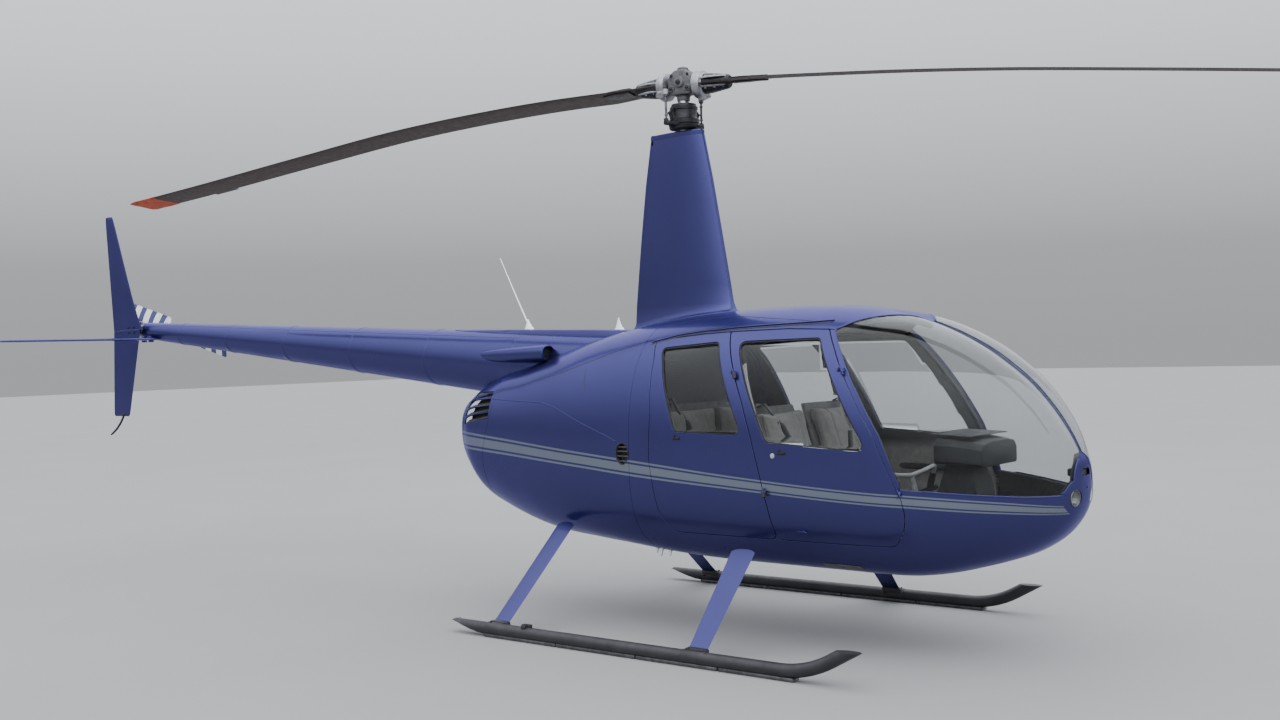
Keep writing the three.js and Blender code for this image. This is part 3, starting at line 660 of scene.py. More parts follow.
def skin(name, outline, mat, holes=(), depth=0.0, rim=7.0, bevel=1.6, gap=1.2, step=30.0, body="fuselage",
        replaces=(), seams=(TOP, 3 * TOP), fine=22):
    """A thin panel of the body's surface, from (run, angle) points on the right side, and its mirror image.
    Edges on the middle line have no rim, so the two halves meet there."""
    shrink = gap + bevel
    outer = densify(inset(flat(outline), shrink), fine)
    cut = [densify(inset(flat(h), -shrink), fine) for h in holes]
    uv, faces, rows = region(outer, cut, step)
    near = np.zeros(len(uv), bool)
    for s in seams:
        hit = np.abs(uv[:, 1] - s * WIDE) < shrink * 2.2
        uv[hit, 1] = s * WIDE
        near |= hit
    here, n = on_body(unflat(uv))
    n[near, 1] = 0
    top = here.copy()
    top[near, 1] = 0
    pts, norms = [top - n * depth], [n]
    out = [list(map(int, t)) for t in faces]
    a, b, c = (pts[0][faces[:, k]] for k in range(3))
    flipped = (np.cross(b - a, c - a) * n[faces].mean(1)).sum(1).mean() < 0
    if flipped:
        out = [t[::-1] for t in out]
    count = len(uv)
    for row in rows:
        p, m = uv[row], len(row)
        away = (p - inset(p, 1.0)) * (-1 if signed_area(p) < 0 else 1)
        size = length(away)
        stretch = np.minimum(size, 1.6)
        away = away / np.maximum(size, 1e-9) * stretch
        q = unflat(p + away * 2)
        base, nb, middle = top[row], n[row], near[row]
        away = surface(q[:, 0], q[:, 1]) - here[row]
        away -= (away * nb).sum(1, keepdims=True) * nb
        away /= np.maximum(length(away), 1e-6)
        away[middle, 1] = 0
        away /= np.maximum(length(away), 1e-6)
        s = stretch * bevel
        # The rim: the edge, two steps over the bevel, and down the side.
        for out_by, down, v in ((0, 0, nb), (s * 0.7, bevel * 0.3, (nb + away) / 1.4142), (s, bevel, away),
                (s, rim, away)):
            r = base + away * out_by - nb * (depth + down)
            r[middle, 1] = 0
            pts.append(r)
            norms.append(v)
        for k in range(3):
            for i in range(m):
                j = (i + 1) % m
                if middle[i] and middle[j] and abs(p[i, 1] - p[j, 1]) < 1e-6:
                    continue
                a, b = count + k * m + i, count + k * m + j
                f = [a, a + m, b + m, b]
                out.append(f[::-1] if flipped else f)
        count += 4 * m
    out += [[count + i for i in f][::-1] for f in out[:len(faces)]]
    pts.append(top - n * (rim + depth))
    norms.append(-n)
    pair(name, np.vstack(pts), out, mat, body, replaces, np.vstack(norms))


# ---- side-view outlines ----
ROOF_LINE = [(22, 1668), (425, 1700), (600, 1708), (960, 1714), (1222, 1704), (1255, 1700)]
SPLIT_LINE = [(600, 1708), (708, 1490), (784, 1328), (845, 1150), (905, 920), (935, 780), (960, 600)]
FRONT_EDGE = [(1222, 1704), (1296, 1602), (1436, 1375), (1563, 1161), (1672, 905), (1700, 840), (1712, 770),
    (1700, 690), (1640, 600)]
REAR_EDGE = [(275, 600), (200, 700), (154, 1005), (162, 1254), (129, 1559), (85, 1673)]
FRONT_DOOR = [(960, 1714)] + FRONT_EDGE + SPLIT_LINE[::-1]
REAR_DOOR = [(425, 1700)] + SPLIT_LINE + REAR_EDGE
FRONT_WINDOW = [(690, 1650), (1190, 1658), (1535, 1080), (938, 1118)]
REAR_WINDOW = [(160, 1625), (552, 1652), (790, 1152), (335, 1166), (196, 1551)]
SCREEN_REAR = [(1255, 1700), (1324, 1602), (1465, 1375), (1591, 1162), (1693, 908), (1695, 898)]
SCREEN_FOOT = [(1800, 889), (1927, 878), (2080, 866), (2212, 857)]
NOSE_EDGE = [(-184, 852), (-165, 866), (-108, 916), (-55, 1015), (-6, 1058)]


def side_uv(points, step=40):
    return from_side(densify(points, step, closed=False))


def door_shape(points, corners):
    return rounded(points, [corners.get(tuple(p), 140 if i else 60) for i, p in enumerate(points)])


smooth_front = door_shape(FRONT_DOOR, {(960, 1714): 0, (1222, 1704): 26, (600, 1708): 14, (960, 600): 40,
    (1640, 600): 70})
smooth_rear = door_shape(REAR_DOOR, {(425, 1700): 0, (600, 1708): 14, (960, 600): 40, (275, 600): 70, (85, 1673): 24})
pane_front = rounded(FRONT_WINDOW, [34, 34, 42, 42])
pane_rear = rounded(REAR_WINDOW, [38, 38, 40, 44, 120])


def edge_distance(uv, edge):
    d = np.full(len(uv), 1e9)
    for a, b in zip(edge, np.roll(edge, -1, 0)):
        t = np.clip(((uv - a) @ (b - a)) / max((b - a) @ (b - a), 1e-9), 0, 1)
        d = np.minimum(d, np.linalg.norm(uv - (a + t[:, None] * (b - a)), axis=1))
    return d


def clear_sheet(name, edge, lift, thick, body, replaces, shaped=False):
    """A clear sheet under the body's surface. lift gives its height over the surface at rows in the flat plane.
    shaped sets its normals from the body's."""
    uv, faces = fill(edge, 34)
    here, n = on_body(unflat(uv))
    out = here + n * lift(uv)
    pts, count = np.vstack([out, out - n * thick]), len(uv)
    f = []
    for t in faces:
        p = out[t]
        up = np.cross(p[1] - p[0], p[2] - p[0]) @ n[t].mean(0) > 0
        t = [int(i) for i in (t if up else t[::-1])]
        f += [t, [i + count for i in t[::-1]]]
    mid = out.mean(0)
    for i in range(len(edge)):
        j = (i + 1) % len(edge)
        q = [i, j, j + count, i + count]
        g = np.cross(pts[q[1]] - pts[q[0]], pts[q[2]] - pts[q[0]])
        f.append(q if g @ (pts[q].mean(0) - mid) > 0 else q[::-1])
    pair(name, pts, f, GLASS, body, replaces, np.vstack([n, -n]) if shaped else None)


def door(place, shape, pane):
    """The door's outer skin, its bowed window and the dark seal round the window."""

    def line(distance):
        return from_side(densify(inset(pane, distance), 20))

    def bow(uv, swell=9.0, sunk=3.0):
        rise = swell * np.clip(1 - np.exp(-edge_distance(uv, edge) / 70.0), 0, 1)
        return (rise - swell - sunk)[:, None]

    outline, hole = from_side(densify(shape, 30)), from_side(densify(pane, 20))
    ride = f"{place}_door_{{side}}"
    skin(f"{place}_door_skin", outline, HULL_PAINT, [hole], body=ride, replaces=[ride], rim=12, gap=2.2)
    edge = densify(flat(line(-9)), 22)
    clear_sheet(f"{place}_door_pane", edge, bow, 3.0, ride, [f"{place}_window_{{side}}"])
    skin(f"{place}_door_window_seal", line(-0.5), RUBBER, [line(4.5)], body=ride, depth=2.2, rim=8, bevel=1.2, gap=0,
        step=60)


door("front", smooth_front, pane_front)
door("rear", smooth_rear, pane_rear)

# Roof, from the door tops up to the middle, between the cowl and the windscreen.
BULKHEAD = 8.0   # x where the cabin ends and the cowl starts


def across(run, start, end, n):
    """Points at one run from one angle to another."""
    return [(run, a) for a in np.linspace(start, end, n)]


def along(start, end, n, angle):
    return [(r, angle) for r in np.linspace(start, end, n)]


def side_line(points):
    return [tuple(p) for p in side_uv(points, 30)]


rear_run, tip = run_of(BULKHEAD), RUN[-1]
roof_side = side_line(ROOF_LINE[::-1] + [(8, 1667)])
screen_top = from_top([(1262, -416), (1300, -380), (1390, -285), (1480, -190), (1560, -95), (1600, -30)])
screen_back = [tuple(p) for p in screen_top[::-1]]
roof_edge = [(run_of(1607.0), TOP)] + screen_back + roof_side + [(rear_run, TOP)]
skin("roof_skin", roof_edge, PAINT, rim=14, gap=0.8, replaces=["cabin_roof"])
skin("headliner", roof_edge, HEADLINER, depth=16, rim=24, gap=4, seams=(TOP,))

# Lower body, from the bulkhead to the nose, with the door openings cut out.
screen_low = side_line(SCREEN_FOOT) + [tuple(p) for p in at_nose(NOSE_EDGE)]
body_loop = side_line([(8, 1667)] + ROOF_LINE) + side_line(SCREEN_REAR[1:]) + screen_low
body_loop += along(run_of(2385.0), tip, 6, TOP) + across(tip, TOP, 3 * TOP, 9)[1:]
body_loop += along(tip, rear_run, 60, 3 * TOP)[1:]
body_loop += across(rear_run, 3 * TOP, from_side([(8, 1667)])[0][1], 30)[1:-1]
LAMP_AT = (-101, 838)


def nose_ring(r):
    """A ring round the landing lamp."""
    return at_nose([(LAMP_AT[0] + r * math.cos(t), LAMP_AT[1] + r * math.sin(t)) for t in around(26)])


door_holes = [from_side(densify(shape, 30)) for shape in (smooth_front, smooth_rear)]
inlet = at_nose([(0, 941), (-40, 941), (-46, 949), (-46, 968), (-40, 976), (0, 976)])
posts = ["front_post_{side}", "rear_post_{side}"]
skin("body_skin", body_loop, HULL_PAINT, door_holes + [nose_ring(43), inlet], rim=14, gap=0.8, replaces=posts)
wide_holes = [unflat(inset(densify(flat(h), 22), -13)) for h in door_holes]
skin("cabin_inner_wall", body_loop, PLASTIC, wide_holes + [nose_ring(50)], depth=15, rim=25, gap=3, step=45)

# Rear cowl: side skin below the long seam, upper skin above it, and the rear cap with its louvre slots.
LONG_SEAM = [(8, 1668), (-70, 1649), (-199, 1616), (-327, 1580), (-476, 1536), (-633, 1493), (-743, 1469),
    (-868, 1448), (-1051, 1410), (-1271, 1368)]
CAP_SEAM = [(-1271, 1368), (-1272, 1290), (-1292, 1200), (-1370, 1000), (-1430, 760), (-1462, 640)]
seam_uv, cap_uv = side_line(LONG_SEAM), side_line(CAP_SEAM)
x_cap = cap_uv[-1][0]
low_rear = across(x_cap, cap_uv[-1][1], 3 * TOP, 10)[1:]
side_loop = seam_uv + cap_uv[1:] + low_rear + along(x_cap, rear_run, 30, 3 * TOP)[1:]
side_loop += across(rear_run, 3 * TOP, seam_uv[0][1], 30)[1:-1]
VENT_AT = (-44, 1032)
vent_hole = from_side([(VENT_AT[0] + 48 * math.cos(t), VENT_AT[1] + 62 * math.sin(t)) for t in around(22)])
skin("cowl_side_skin", side_loop, HULL_PAINT, [vent_hole], rim=10, gap=0.9, replaces=["engine_cowl"])
upper_loop = [(rear_run, TOP)] + seam_uv + [(seam_uv[-1][0], TOP)]
skin("cowl_upper_skin", upper_loop, HULL_PAINT, rim=10, gap=0.9)
end_run = run_of(-1676.0)
cap_loop = [(cap_uv[0][0], TOP)] + cap_uv + low_rear + [(end_run, 3 * TOP)] + across(end_run, 3 * TOP, TOP, 24)[1:]
# Each slot: its height at the front and at the rear end, from the top one down.
LOUVRES = ((1376, 1352), (1332, 1303), (1289, 1252), (1246, 1202))
slots = []
for front, rear in LOUVRES:
    mid = (front + rear) / 2
    slots.append(from_side([(-1586, rear), (-1460, mid + 5), (-1306, front), (-1301, front - 36), (-1460, mid - 35),
        (-1600, rear - 40)]))
skin("cowl_rear_cap_skin", cap_loop, HULL_PAINT, slots, rim=10, gap=0.9, step=24, fine=14)

# Windscreen: one bowed clear sheet on each side, from the door post round to the middle.
crown = [(run_of(x), TOP + 0.012) for x in (2384, 2340, 2280, 2200, 2100, 2000, 1900, 1800, 1700, 1625)]
screen = side_line(SCREEN_REAR) + screen_low + crown + screen_back
clear_sheet("windscreen_pane", densify(flat(screen), 24), lambda uv: -2.0, 4.0, "fuselage", ["windscreen_{side}"],
    True)


# ---- strips that follow the body ----
def strip(name, line, width, mat, lift=1.0, thick=2.5):
    """A narrow strip on the body along a line of (run, angle) points, with rounded edges, on both sides."""
    uv = densify(flat(line), 16, False)
    n = len(uv)
    ahead = np.roll(uv, -1, 0) - np.roll(uv, 1, 0)
    ahead[0], ahead[-1] = uv[1] - uv[0], uv[-1] - uv[-2]
    ahead /= np.maximum(length(ahead), 1e-9)
    side = np.stack([-ahead[:, 1], ahead[:, 0]], 1)
    # The flat plane's second axis is stretched near the nose, so the width is set by real distance.
    here, normals = on_body(unflat(uv))
    side /= np.maximum(length(on_body(unflat(uv + side))[0] - here), 0.2)
    shape = [(-0.5, lift - thick), (-0.5, lift - 0.5), (-0.44, lift), (0, lift), (0.44, lift), (0.5, lift - 0.5),
        (0.5, lift - thick)]
    rows = []
    for w, h in shape:
        p, up = on_body(unflat(uv + side * width * w))
        rows.append(p + up * h)
    pts, k = np.stack(rows, 1).reshape(-1, 3), len(shape)
    f = []
    for a in range(0, (n - 1) * k, k):
        f += [[a + j, a + j + 1, a + k + j + 1, a + k + j] for j in range(k - 1)]
        f.append([a + k - 1, a, a + k, a + 2 * k - 1])
    f += [list(range(k))[::-1], [(n - 1) * k + j for j in range(k)]]
    p = pts[f[2]]
    if np.cross(p[1] - p[0], p[2] - p[0]) @ normals[0] < 0:
        f = [q[::-1] for q in f]
    pair(name, pts, f, mat)


def square_to(d):
    """Two unit vectors that are square to d and to each other."""
    s = unit(np.cross(d, Z if abs(d[2]) < 0.9 else X))
    return s, np.cross(d, s)


# ---- a small kit for solid fittings ----
class Kit:
    """Collects closed parts into one piece. Each part's faces are turned to look outwards."""

    def __init__(self):
        self.v, self.f, self.m = [], [], []

    def add(self, verts, faces, mat=0):
        v = np.asarray(verts, float)
        o = v.mean(0)
        volume = 0.0
        for f in faces:
            for i in range(1, len(f) - 1):
                volume += np.dot(v[f[0]] - o, np.cross(v[f[i]] - o, v[f[i + 1]] - o))
        base = sum(len(x) for x in self.v)
        for f in faces:
            f = [base + int(i) for i in f]
            self.f.append(f if volume >= 0 else f[::-1])
            self.m.append(mat)
        self.v.append(v)
        return self

    def loft(self, rings, mat=0, caps=True):
        rings = np.asarray(rings, float)
        m, n = rings.shape[:2]
        f = [[i * n + j, i * n + (j + 1) % n, (i + 1) * n + (j + 1) % n, (i + 1) * n + j]
             for i in range(m - 1) for j in range(n)]
        if caps:
            f += [list(range(n))[::-1], [(m - 1) * n + j for j in range(n)]]
        return self.add(rings.reshape(-1, 3), f, mat)

    def tube(self, path, radius, n=14, mat=0, flatten=1.0):
        p = np.asarray(path, float)
        r = np.broadcast_to(np.asarray(radius, float), (len(p),))
        t = np.gradient(p, axis=0)
        t /= np.maximum(length(t), 1e-9)
        side = np.cross(t[0], Z)
        if np.linalg.norm(side) < 0.1:
            side = np.cross(t[0], Y)
        a = around(n)[:, None]
        rings = []
        for q, d, k in zip(p, t, r):
            side = unit(side - d * (side @ d))
            rings.append(q + k * (np.cos(a) * side + np.sin(a) * np.cross(side, d) * flatten))
        return self.loft(rings, mat)

    def lathe(self, origin, axis, profile, n=28, mat=0):
        """Turned shape: profile is a list of (height along the axis, radius)."""
        o, d = np.asarray(origin, float), unit(axis)
        s, u = square_to(d)
        a = around(n)[:, None]
        return self.loft([o + d * h + max(r, 0.05) * (np.cos(a) * s + np.sin(a) * u) for h, r in profile], mat)

    def block(self, low, high, bevel=2.0, mat=0, matrix=None):
        low, high = np.minimum(low, high).astype(float), np.maximum(low, high).astype(float)
        bm = bmesh.new()
        place = Matrix.LocRotScale(Vector((low + high) / 2), None, Vector(high - low))
        bmesh.ops.create_cube(bm, size=1.0, matrix=place)
        bmesh.ops.bevel(bm, geom=bm.edges[:], offset=min(bevel, (high - low).min() * 0.45), segments=2, profile=0.5,
            affect="EDGES")
        return self.take(bm, mat, matrix)

    def prism(self, outline, low, high, axis, bevel, mat=0, matrix=None, segments=2):
        """An outline pushed through: axis y takes (x, z) points, x takes (y, z) points, z takes (x, y) points."""
        bm = bmesh.new()
        at = "xyz".index(axis)
        f = bm.faces.new([bm.verts.new((*p[:at], low, *p[at:])) for p in outline])
        move = [high - low if i == at else 0 for i in range(3)]
        g = bmesh.ops.extrude_face_region(bm, geom=[f])
        bmesh.ops.translate(bm, verts=[v for v in g["geom"] if isinstance(v, bmesh.types.BMVert)], vec=move)
        bmesh.ops.recalc_face_normals(bm, faces=bm.faces[:])
        sharp = [e for e in bm.edges if len(e.link_faces) == 2 and e.calc_face_angle(0) > 0.6]
        bmesh.ops.bevel(bm, geom=sharp, offset=bevel, segments=segments, profile=0.5, affect="EDGES",
            clamp_overlap=True)
        return self.take(bm, mat, matrix)

    def take(self, bm, mat, matrix):
        if matrix is not None:
            bmesh.ops.transform(bm, matrix=matrix, verts=bm.verts[:])
        bm.verts.index_update()
        v = [tuple(x.co) for x in bm.verts]
        f = [[x.index for x in q.verts] for q in bm.faces]
        bm.free()
        return self.add(v, f, mat)

    def bolt(self, at, axis, r=7.0, h=5.0):
        at, axis = np.asarray(at, float), unit(axis)
        self.lathe(at - axis, axis, [(0, r * 1.5), (1.6, r * 1.5), (2.0, r * 1.35)], 12)
        return self.lathe(at + axis, axis, [(0, r), (h * 0.8, r), (h, r * 0.8)], 6)

    def turned(self, matrix):
        m = np.array(matrix)
        self.v = [v @ m[:3, :3].T + m[:3, 3] for v in self.v]
        return self

    def join(self, other):
        base = sum(len(x) for x in self.v)
        self.v += other.v
        self.f += [[base + i for i in f] for f in other.f]
        self.m += other.m
        return self

    def mirrored(self):
        k = Kit()
        k.v = [v * (1, -1, 1) for v in self.v]
        k.f = [f[::-1] for f in self.f]
        k.m = list(self.m)
        return k

    def done(self, name, mats, body="fuselage", replaces=(), angle=38, slot=None):
        o = piece(name, np.vstack(self.v), self.f, mats, body, replaces)
        if isinstance(mats, list):
            o.data.polygons.foreach_set("material_index", self.m)
        o.data.set_sharp_from_angle(angle=math.radians(angle))
        return o


def fitted(name, kit, mats, body="fuselage", replaces=(), angle=38):
    for side, sign in SIDES:
        own = kit if sign > 0 else kit.mirrored()
        own.done(f"{name}_{side}", mats, body.format(side=side), [r.format(side=side) for r in replaces], angle)


def foil_half(t):
    """An aerofoil's half thickness at the share t of its chord, 1 at its thickest."""
    return 1.4845 * np.sqrt(t) - 0.63 * t - 1.758 * t**2 + 1.4215 * t**3 - 0.518 * t**4


def foil(chord, thick, n, blunt):
    """Aerofoil outline (u back from the leading edge, w across). thick is the half thickness, and blunt its least
    value at the back."""
    t = (1 - np.cos(np.linspace(0, math.pi, n + 1))) / 2
    up = np.stack([t * chord, np.maximum(thick * foil_half(t), np.where(t > 0.5, blunt, 0))], 1)
    return np.vstack([up, up[:0:-1] * (1, -1)])


def top_z(x, y):
    """Height of the body's upper surface over a plan point."""
    w = from_top([(x, y)])
    return surface(w[:, 0], w[:, 1])[0][2]


# ---- mast fairing ----
# Height, rear end, front end and half width.
FAIRING = np.array([(1560, -430, 345, 150), (1895, -395, 322, 135), (2250, -352, 262, 118), (2608, -302, 201, 100),
    (2920, -246, 138, 82)], float)


def fairing_at(z):
    return [np.interp(z, FAIRING[:, 0], FAIRING[:, k]) for k in (1, 2, 3)]


def fairing_ring(z, grow=0.0):
    rear, front, half = fairing_at(z)
    out = foil(front - rear, half, 22, 5.0)
    ring = np.stack([front - out[:, 0], out[:, 1]], 1)
    return inset(ring, -grow) if grow else ring


rings = []
for lift, grow in ((-30, 30), (2, 30), (5, 27), (12, 15), (24, 7), (45, 2)):
    rings.append([(x, y, top_z(x, y) + lift) for x, y in fairing_ring(1790 + lift, grow)])
for z in (1880, 1990, 2140, 2300, 2460, 2620, 2760, 2880, 2909, 2916, 2919):
    rings.append([(x, y, z) for x, y in fairing_ring(z, min(0, (2905 - z) * 0.25))])
rings += [[(x, y, z) for x, y in fairing_ring(2900, -10)] for z in (2919, 2860)]
Kit().loft(rings).done("mast_fairing_shell", PAINT, replaces="mast_fairing", angle=50)
ring = fairing_ring(2905, 0.7)
band = [[(x, y, 2905 + h) for x, y in inset(ring, -g)] for h, g in ((-16, 0.2), (-16, 1.4), (8, 1.4), (8, 0.2))]
Kit().loft(band + band[:1], caps=False).done("mast_fairing_top_band", PAINT)


def rivets(name, points, normals, r=3.2, h=1.3):
    """Small domed heads, all in one piece."""
    a = around(8)[:, None]
    v, f = [], []
    for p, d in zip(np.asarray(points, float), np.asarray(normals, float)):
        d = unit(d)
        s, u = square_to(d)
        turn = np.cos(a) * s + np.sin(a) * u
        base = len(v)
        v += [*(p - d * 0.6 + r * turn), *(p + d * h * 0.7 + r * 0.75 * turn), p + d * h]
        for i in range(8):
            j = (i + 1) % 8
            f += [[base + i, base + j, base + 8 + j, base + 8 + i], [base + 8 + i, base + 8 + j, base + 16]]
    v = np.array(v)
    p = v[f[0]]
    if np.cross(p[1] - p[0], p[2] - p[0]) @ (p.mean(0) - v[:17].mean(0)) < 0:
        f = [q[::-1] for q in f]
    piece(name, v, f, PAINT)


# Rivets run up both sides of the fairing near its rear and front edges.
pts, nor = [], []
for z in np.arange(1900, 2900, 42):
    rear, front, half = fairing_at(z)
    for sign in (-1, 1):
        for u, ahead in ((0.80, -0.35), (0.16, 0.45)):
            pts.append((front - u * (front - rear), sign * half * foil_half(u), z))
            nor.append((ahead, sign, 0.04))
rivets("mast_fairing_rivets", pts, nor)


# ---- tail cone ----
def cone_z(x):
    return 1580 + (-1875 - x) * 0.0788


def cone_r(x):
    return 202.5 - (-1875 - x) * 0.03474


def cone_point(x, a, grow=0.0):
    """a is 0 on the left, 90 degrees on top."""
    return np.array([x, (cone_r(x) + grow) * math.cos(a), cone_z(x) + (cone_r(x) + grow) * math.sin(a)])


LAPS = [-1290, -2120, -2930, -3720, -4480, -5160]


def cone_ring(x, grow):
    return [cone_point(x, a, grow) for a in around(56)]


rings = []
for x in sorted({-335.0, *LAPS, *np.arange(-560.0, -5740, -190)}, reverse=True) + [-5740.0]:
    laps = ((3, 0), (1.5, 1.3), (-22, 1.3), (-24, 0)) if x in LAPS else ((0, 0),)
    rings += [[p + (ahead, 0, 0) for p in cone_ring(x, grow)] for ahead, grow in laps]
Kit().loft(rings).done("tail_cone_skin", PAINT, replaces="tail_cone", angle=25)
places = [(x + dx, a, 1.3) for x in LAPS for a in around(int(2 * math.pi * cone_r(x) / 30)) for dx in (-6, -16)]
places += [(x, math.radians(a), 0.0) for x in np.arange(-1400, -5700, -36) for a in (118, 240)]
rivets("tail_cone_rivets", [cone_point(*p) for p in places], [(0, math.cos(a), math.sin(a)) for _, a, _ in places],
    2.8, 1.1)
# Lap seams along the right side of the cone, and the flat-topped strip over the front of it.
k = Kit()
lap = ((-9, 0.1), (-8, 1.1), (8, 1.1), (9, 0.1), (9, -1.5), (-9, -1.5))
for a in (math.radians(124), math.radians(246)):
    k.loft([[cone_point(x, a + d / cone_r(x), g) for d, g in lap] for x in np.arange(-1300, -5720, -90)])
k.done("tail_cone_side_laps", PAINT, angle=25)
sec = []
for x, half, high in ((-300, 60, 10), (-420, 92, 26), (-700, 100, 24), (-1000, 98, 20), (-1300, 90, 15),
        (-1600, 78, 9), (-1850, 60, 4), (-1960, 42, 1)):
    z, r = cone_z(x), cone_r(x)
    row = []
    for w in np.linspace(-1, 1, 13):
        base = z + math.sqrt(max(r**2 - (half * w)**2, 0)) + 2
        row.append((x, half * w, max(base, z + r + high - 10 * abs(w)**3) if abs(w) < 0.93 else base))
    sec.append(row + [(x, y, z + math.sqrt(r**2 - y**2) - 8) for y in np.linspace(half, -half, 7)])
Kit().loft(sec).done("tail_cone_top_strip", PAINT, angle=40)


# ---- scoop on the right of the cone, with its screen ----
def fuller(v):
    return math.copysign(abs(v)**0.8, v)


sec = []
for x, cy, cz, ry, rz in ((-915, -256, 1612, 70, 46), (-921, -257, 1612, 75, 51), (-965, -255, 1612, 76, 52),
        (-1100, -238, 1609, 73, 51), (-1280, -210, 1606, 66, 48), (-1460, -182, 1604, 52, 42),
        (-1600, -164, 1604, 34, 30), (-1690, -156, 1604, 16, 16)):
    turns = [(math.cos(a), math.sin(a)) for a in around(36)]
    sec.append([(x - 0.2 * ry * c, cy + ry * fuller(c), cz + rz * fuller(s)) for c, s in turns])
lip = np.array(sec[0])
c = lip.mean(0)
hollow = [(lip - c) * (1, 0.92, 0.92) + c + (-70, 0, 0), (lip - c) * (1, 0.93, 0.93) + c]
Kit().loft(hollow + sec).done("intake_scoop", PAINT, angle=45)
k = Kit()
for t in np.linspace(-0.86, 0.86, 9):
    w = math.sqrt(1 - t * t)
    k.tube([(-938 - 14 * t, -256 + 66 * t, 1612 + 43 * e) for e in (-w, w)], 1.3, 5)
    k.tube([(-938 - 14 * e, -256 + 66 * e, 1612 + 43 * t) for e in (-w, w)], 1.3, 5)
k.done("intake_screen", STEEL_DARK)
# A black disc that closes the scoop's duct: painted shade in its opening.
Kit().lathe((-984, -254, 1611), X, [(0, 46), (2, 47), (3, 46)], 24).done("intake_painted_shade_disc", RUBBER)

# ---- tail gearbox, fins, stabiliser, skid ----
TAIL_X, TAIL_Z = -5890, 1895   # the tail rotor's axis, which runs to the left
FIN_Y = -102
k = Kit()
k.lathe((-5700, 0, cone_z(-5700)), (-1, 0, 0.02),
    [(0, 62), (20, 62), (24, 70), (38, 70), (42, 61), (90, 58), (150, 56), (180, 60), (240, 58), (256, 46),
    (262, 20)], 32)
k.lathe((TAIL_X, 0, TAIL_Z), Y, [(-40, 40), (0, 50), (60, 50), (64, 56), (78, 56), (82, 47), (112, 46), (126, 39),
    (176, 37), (180, 42), (194, 42), (198, 36), (226, 34), (230, 30)], 28)
for t in around(6):
    k.bolt((-5732, 64 * math.cos(t), 1889 + 64 * math.sin(t)), (-1, 0, 0), 4.5, 5)
    k.bolt((TAIL_X + 52 * math.cos(t), 74, TAIL_Z + 52 * math.sin(t)), Y, 3.4, 6)
k.lathe((-5830, 0, 1945), Z, [(-14, 12), (6, 12), (8, 15), (16, 15), (20, 10)], 16)
k.done("tail_gearbox_case", [GRIP, DARK], replaces="tail_gearbox", slot="dark_metal")
k = Kit().prism([(-5880, 1857), (-5762, 1857), (-5762, 1923), (-5880, 1923)], -91.2, -18, "y", 5)
for x in (-5862, -5780):
    for z in (1868, 1912):
        k.bolt((x, -112, z), (0, -1, 0), 5, 5)
k.done("fin_bracket_casting", DARK, replaces="fin_bracket")


def thin_wing(name, stations, replaces, across=Y):
    """A fin or tail plane from stations of leading point, trailing point and half thickness."""
    sec = []
    for lead, trail, thick in stations:
        lead, trail = np.array(lead, float), np.array(trail, float)
        out = foil(np.linalg.norm(trail - lead), thick, 14, 0.9)
        sec.append(lead + out[:, :1] * unit(trail - lead) + out[:, 1:] * np.array(across))
    Kit().loft(sec).done(name, PAINT, replaces=replaces, angle=50)


def fin_rows(root, end, tip, flare=0):
    """Rows from root to tip, the last ones drawn in to round the end."""
    (l0, t0), (l1, t1) = np.array(root, float), np.array(end, float)
    steps = [(s, 0, 10) for s in (0, 0.04, 0.08, 0.13, 0.2, 0.3, 0.45)]
    steps += [(0.6, 0, 9.5), (0.9, 0, 9), (0.975, 2, 8.6), (0.992, 8, 7), (1.0, tip, 3)]
    rows = []
    for s, shy, thick in steps:
        lead, trail = l0 + (l1 - l0) * s, t0 + (t1 - t0) * s
        d = unit(trail - lead)
        lead, trail = lead + d * shy - d * flare * math.exp(-s / 0.11), trail - d * shy
        rows.append(((lead[0], FIN_Y, lead[1]), (trail[0], FIN_Y, trail[1]), thick))
    return rows


thin_wing("upper_fin_skin", fin_rows(((-5694, 1890.3), (-6090, 1890.3)), ((-6062, 2875), (-6176, 2875)), 16, 46),
    "upper_fin")
thin_wing("lower_fin_skin", fin_rows(((-5690, 1889.7), (-6090, 1889.7)), ((-5886, 1158), (-6124, 1158)), 22),
    "lower_fin")
plane = ((-10, -5460, -5685, 22), (-400, -5471, -5685, 22), (-900, -5486, -5685, 21.5), (-1340, -5498, -5685, 21),
         (-1380, -5501, -5684, 18), (-1394, -5507, -5681, 11), (-1400, -5520, -5674, 4))
thin_wing("stabiliser_skin", [((lead, y, 1810), (trail, y, 1810), thick) for y, lead, trail, thick in plane],
    "stabiliser", Z)
k = Kit()
for x in (-5540, -5640):
    k.block((x - 14, -118, 1784), (x + 14, -80, 1836), 5)
k.block((-5690, -112, 1880), (-5990, -92, 1899), 4)
k.done("tail_joint_straps", PAINT)
guard = ((-5974, 1184), (-5990, 1150), (-6030, 1102), (-6090, 1050), (-6160, 1008), (-6186, 996))
k = Kit().tube([(x, FIN_Y, z) for x, z in guard], [9, 9, 9, 9, 8.6, 6], 14)
k.block((-5950, -110, 1166), (-5998, -94, 1186), 4)
k.done("tail_guard", DARK, replaces="tail_skid")

# ---- tail rotor ----
# Both rotors' blades, and how far round each one stands.
BLADES = (("a", 0.0), ("b", math.pi))


def tail_matrix(spin):
    return Matrix.Translation((TAIL_X, 380, TAIL_Z)) @ Matrix.Rotation(math.radians(14) + spin, 4, "Y")


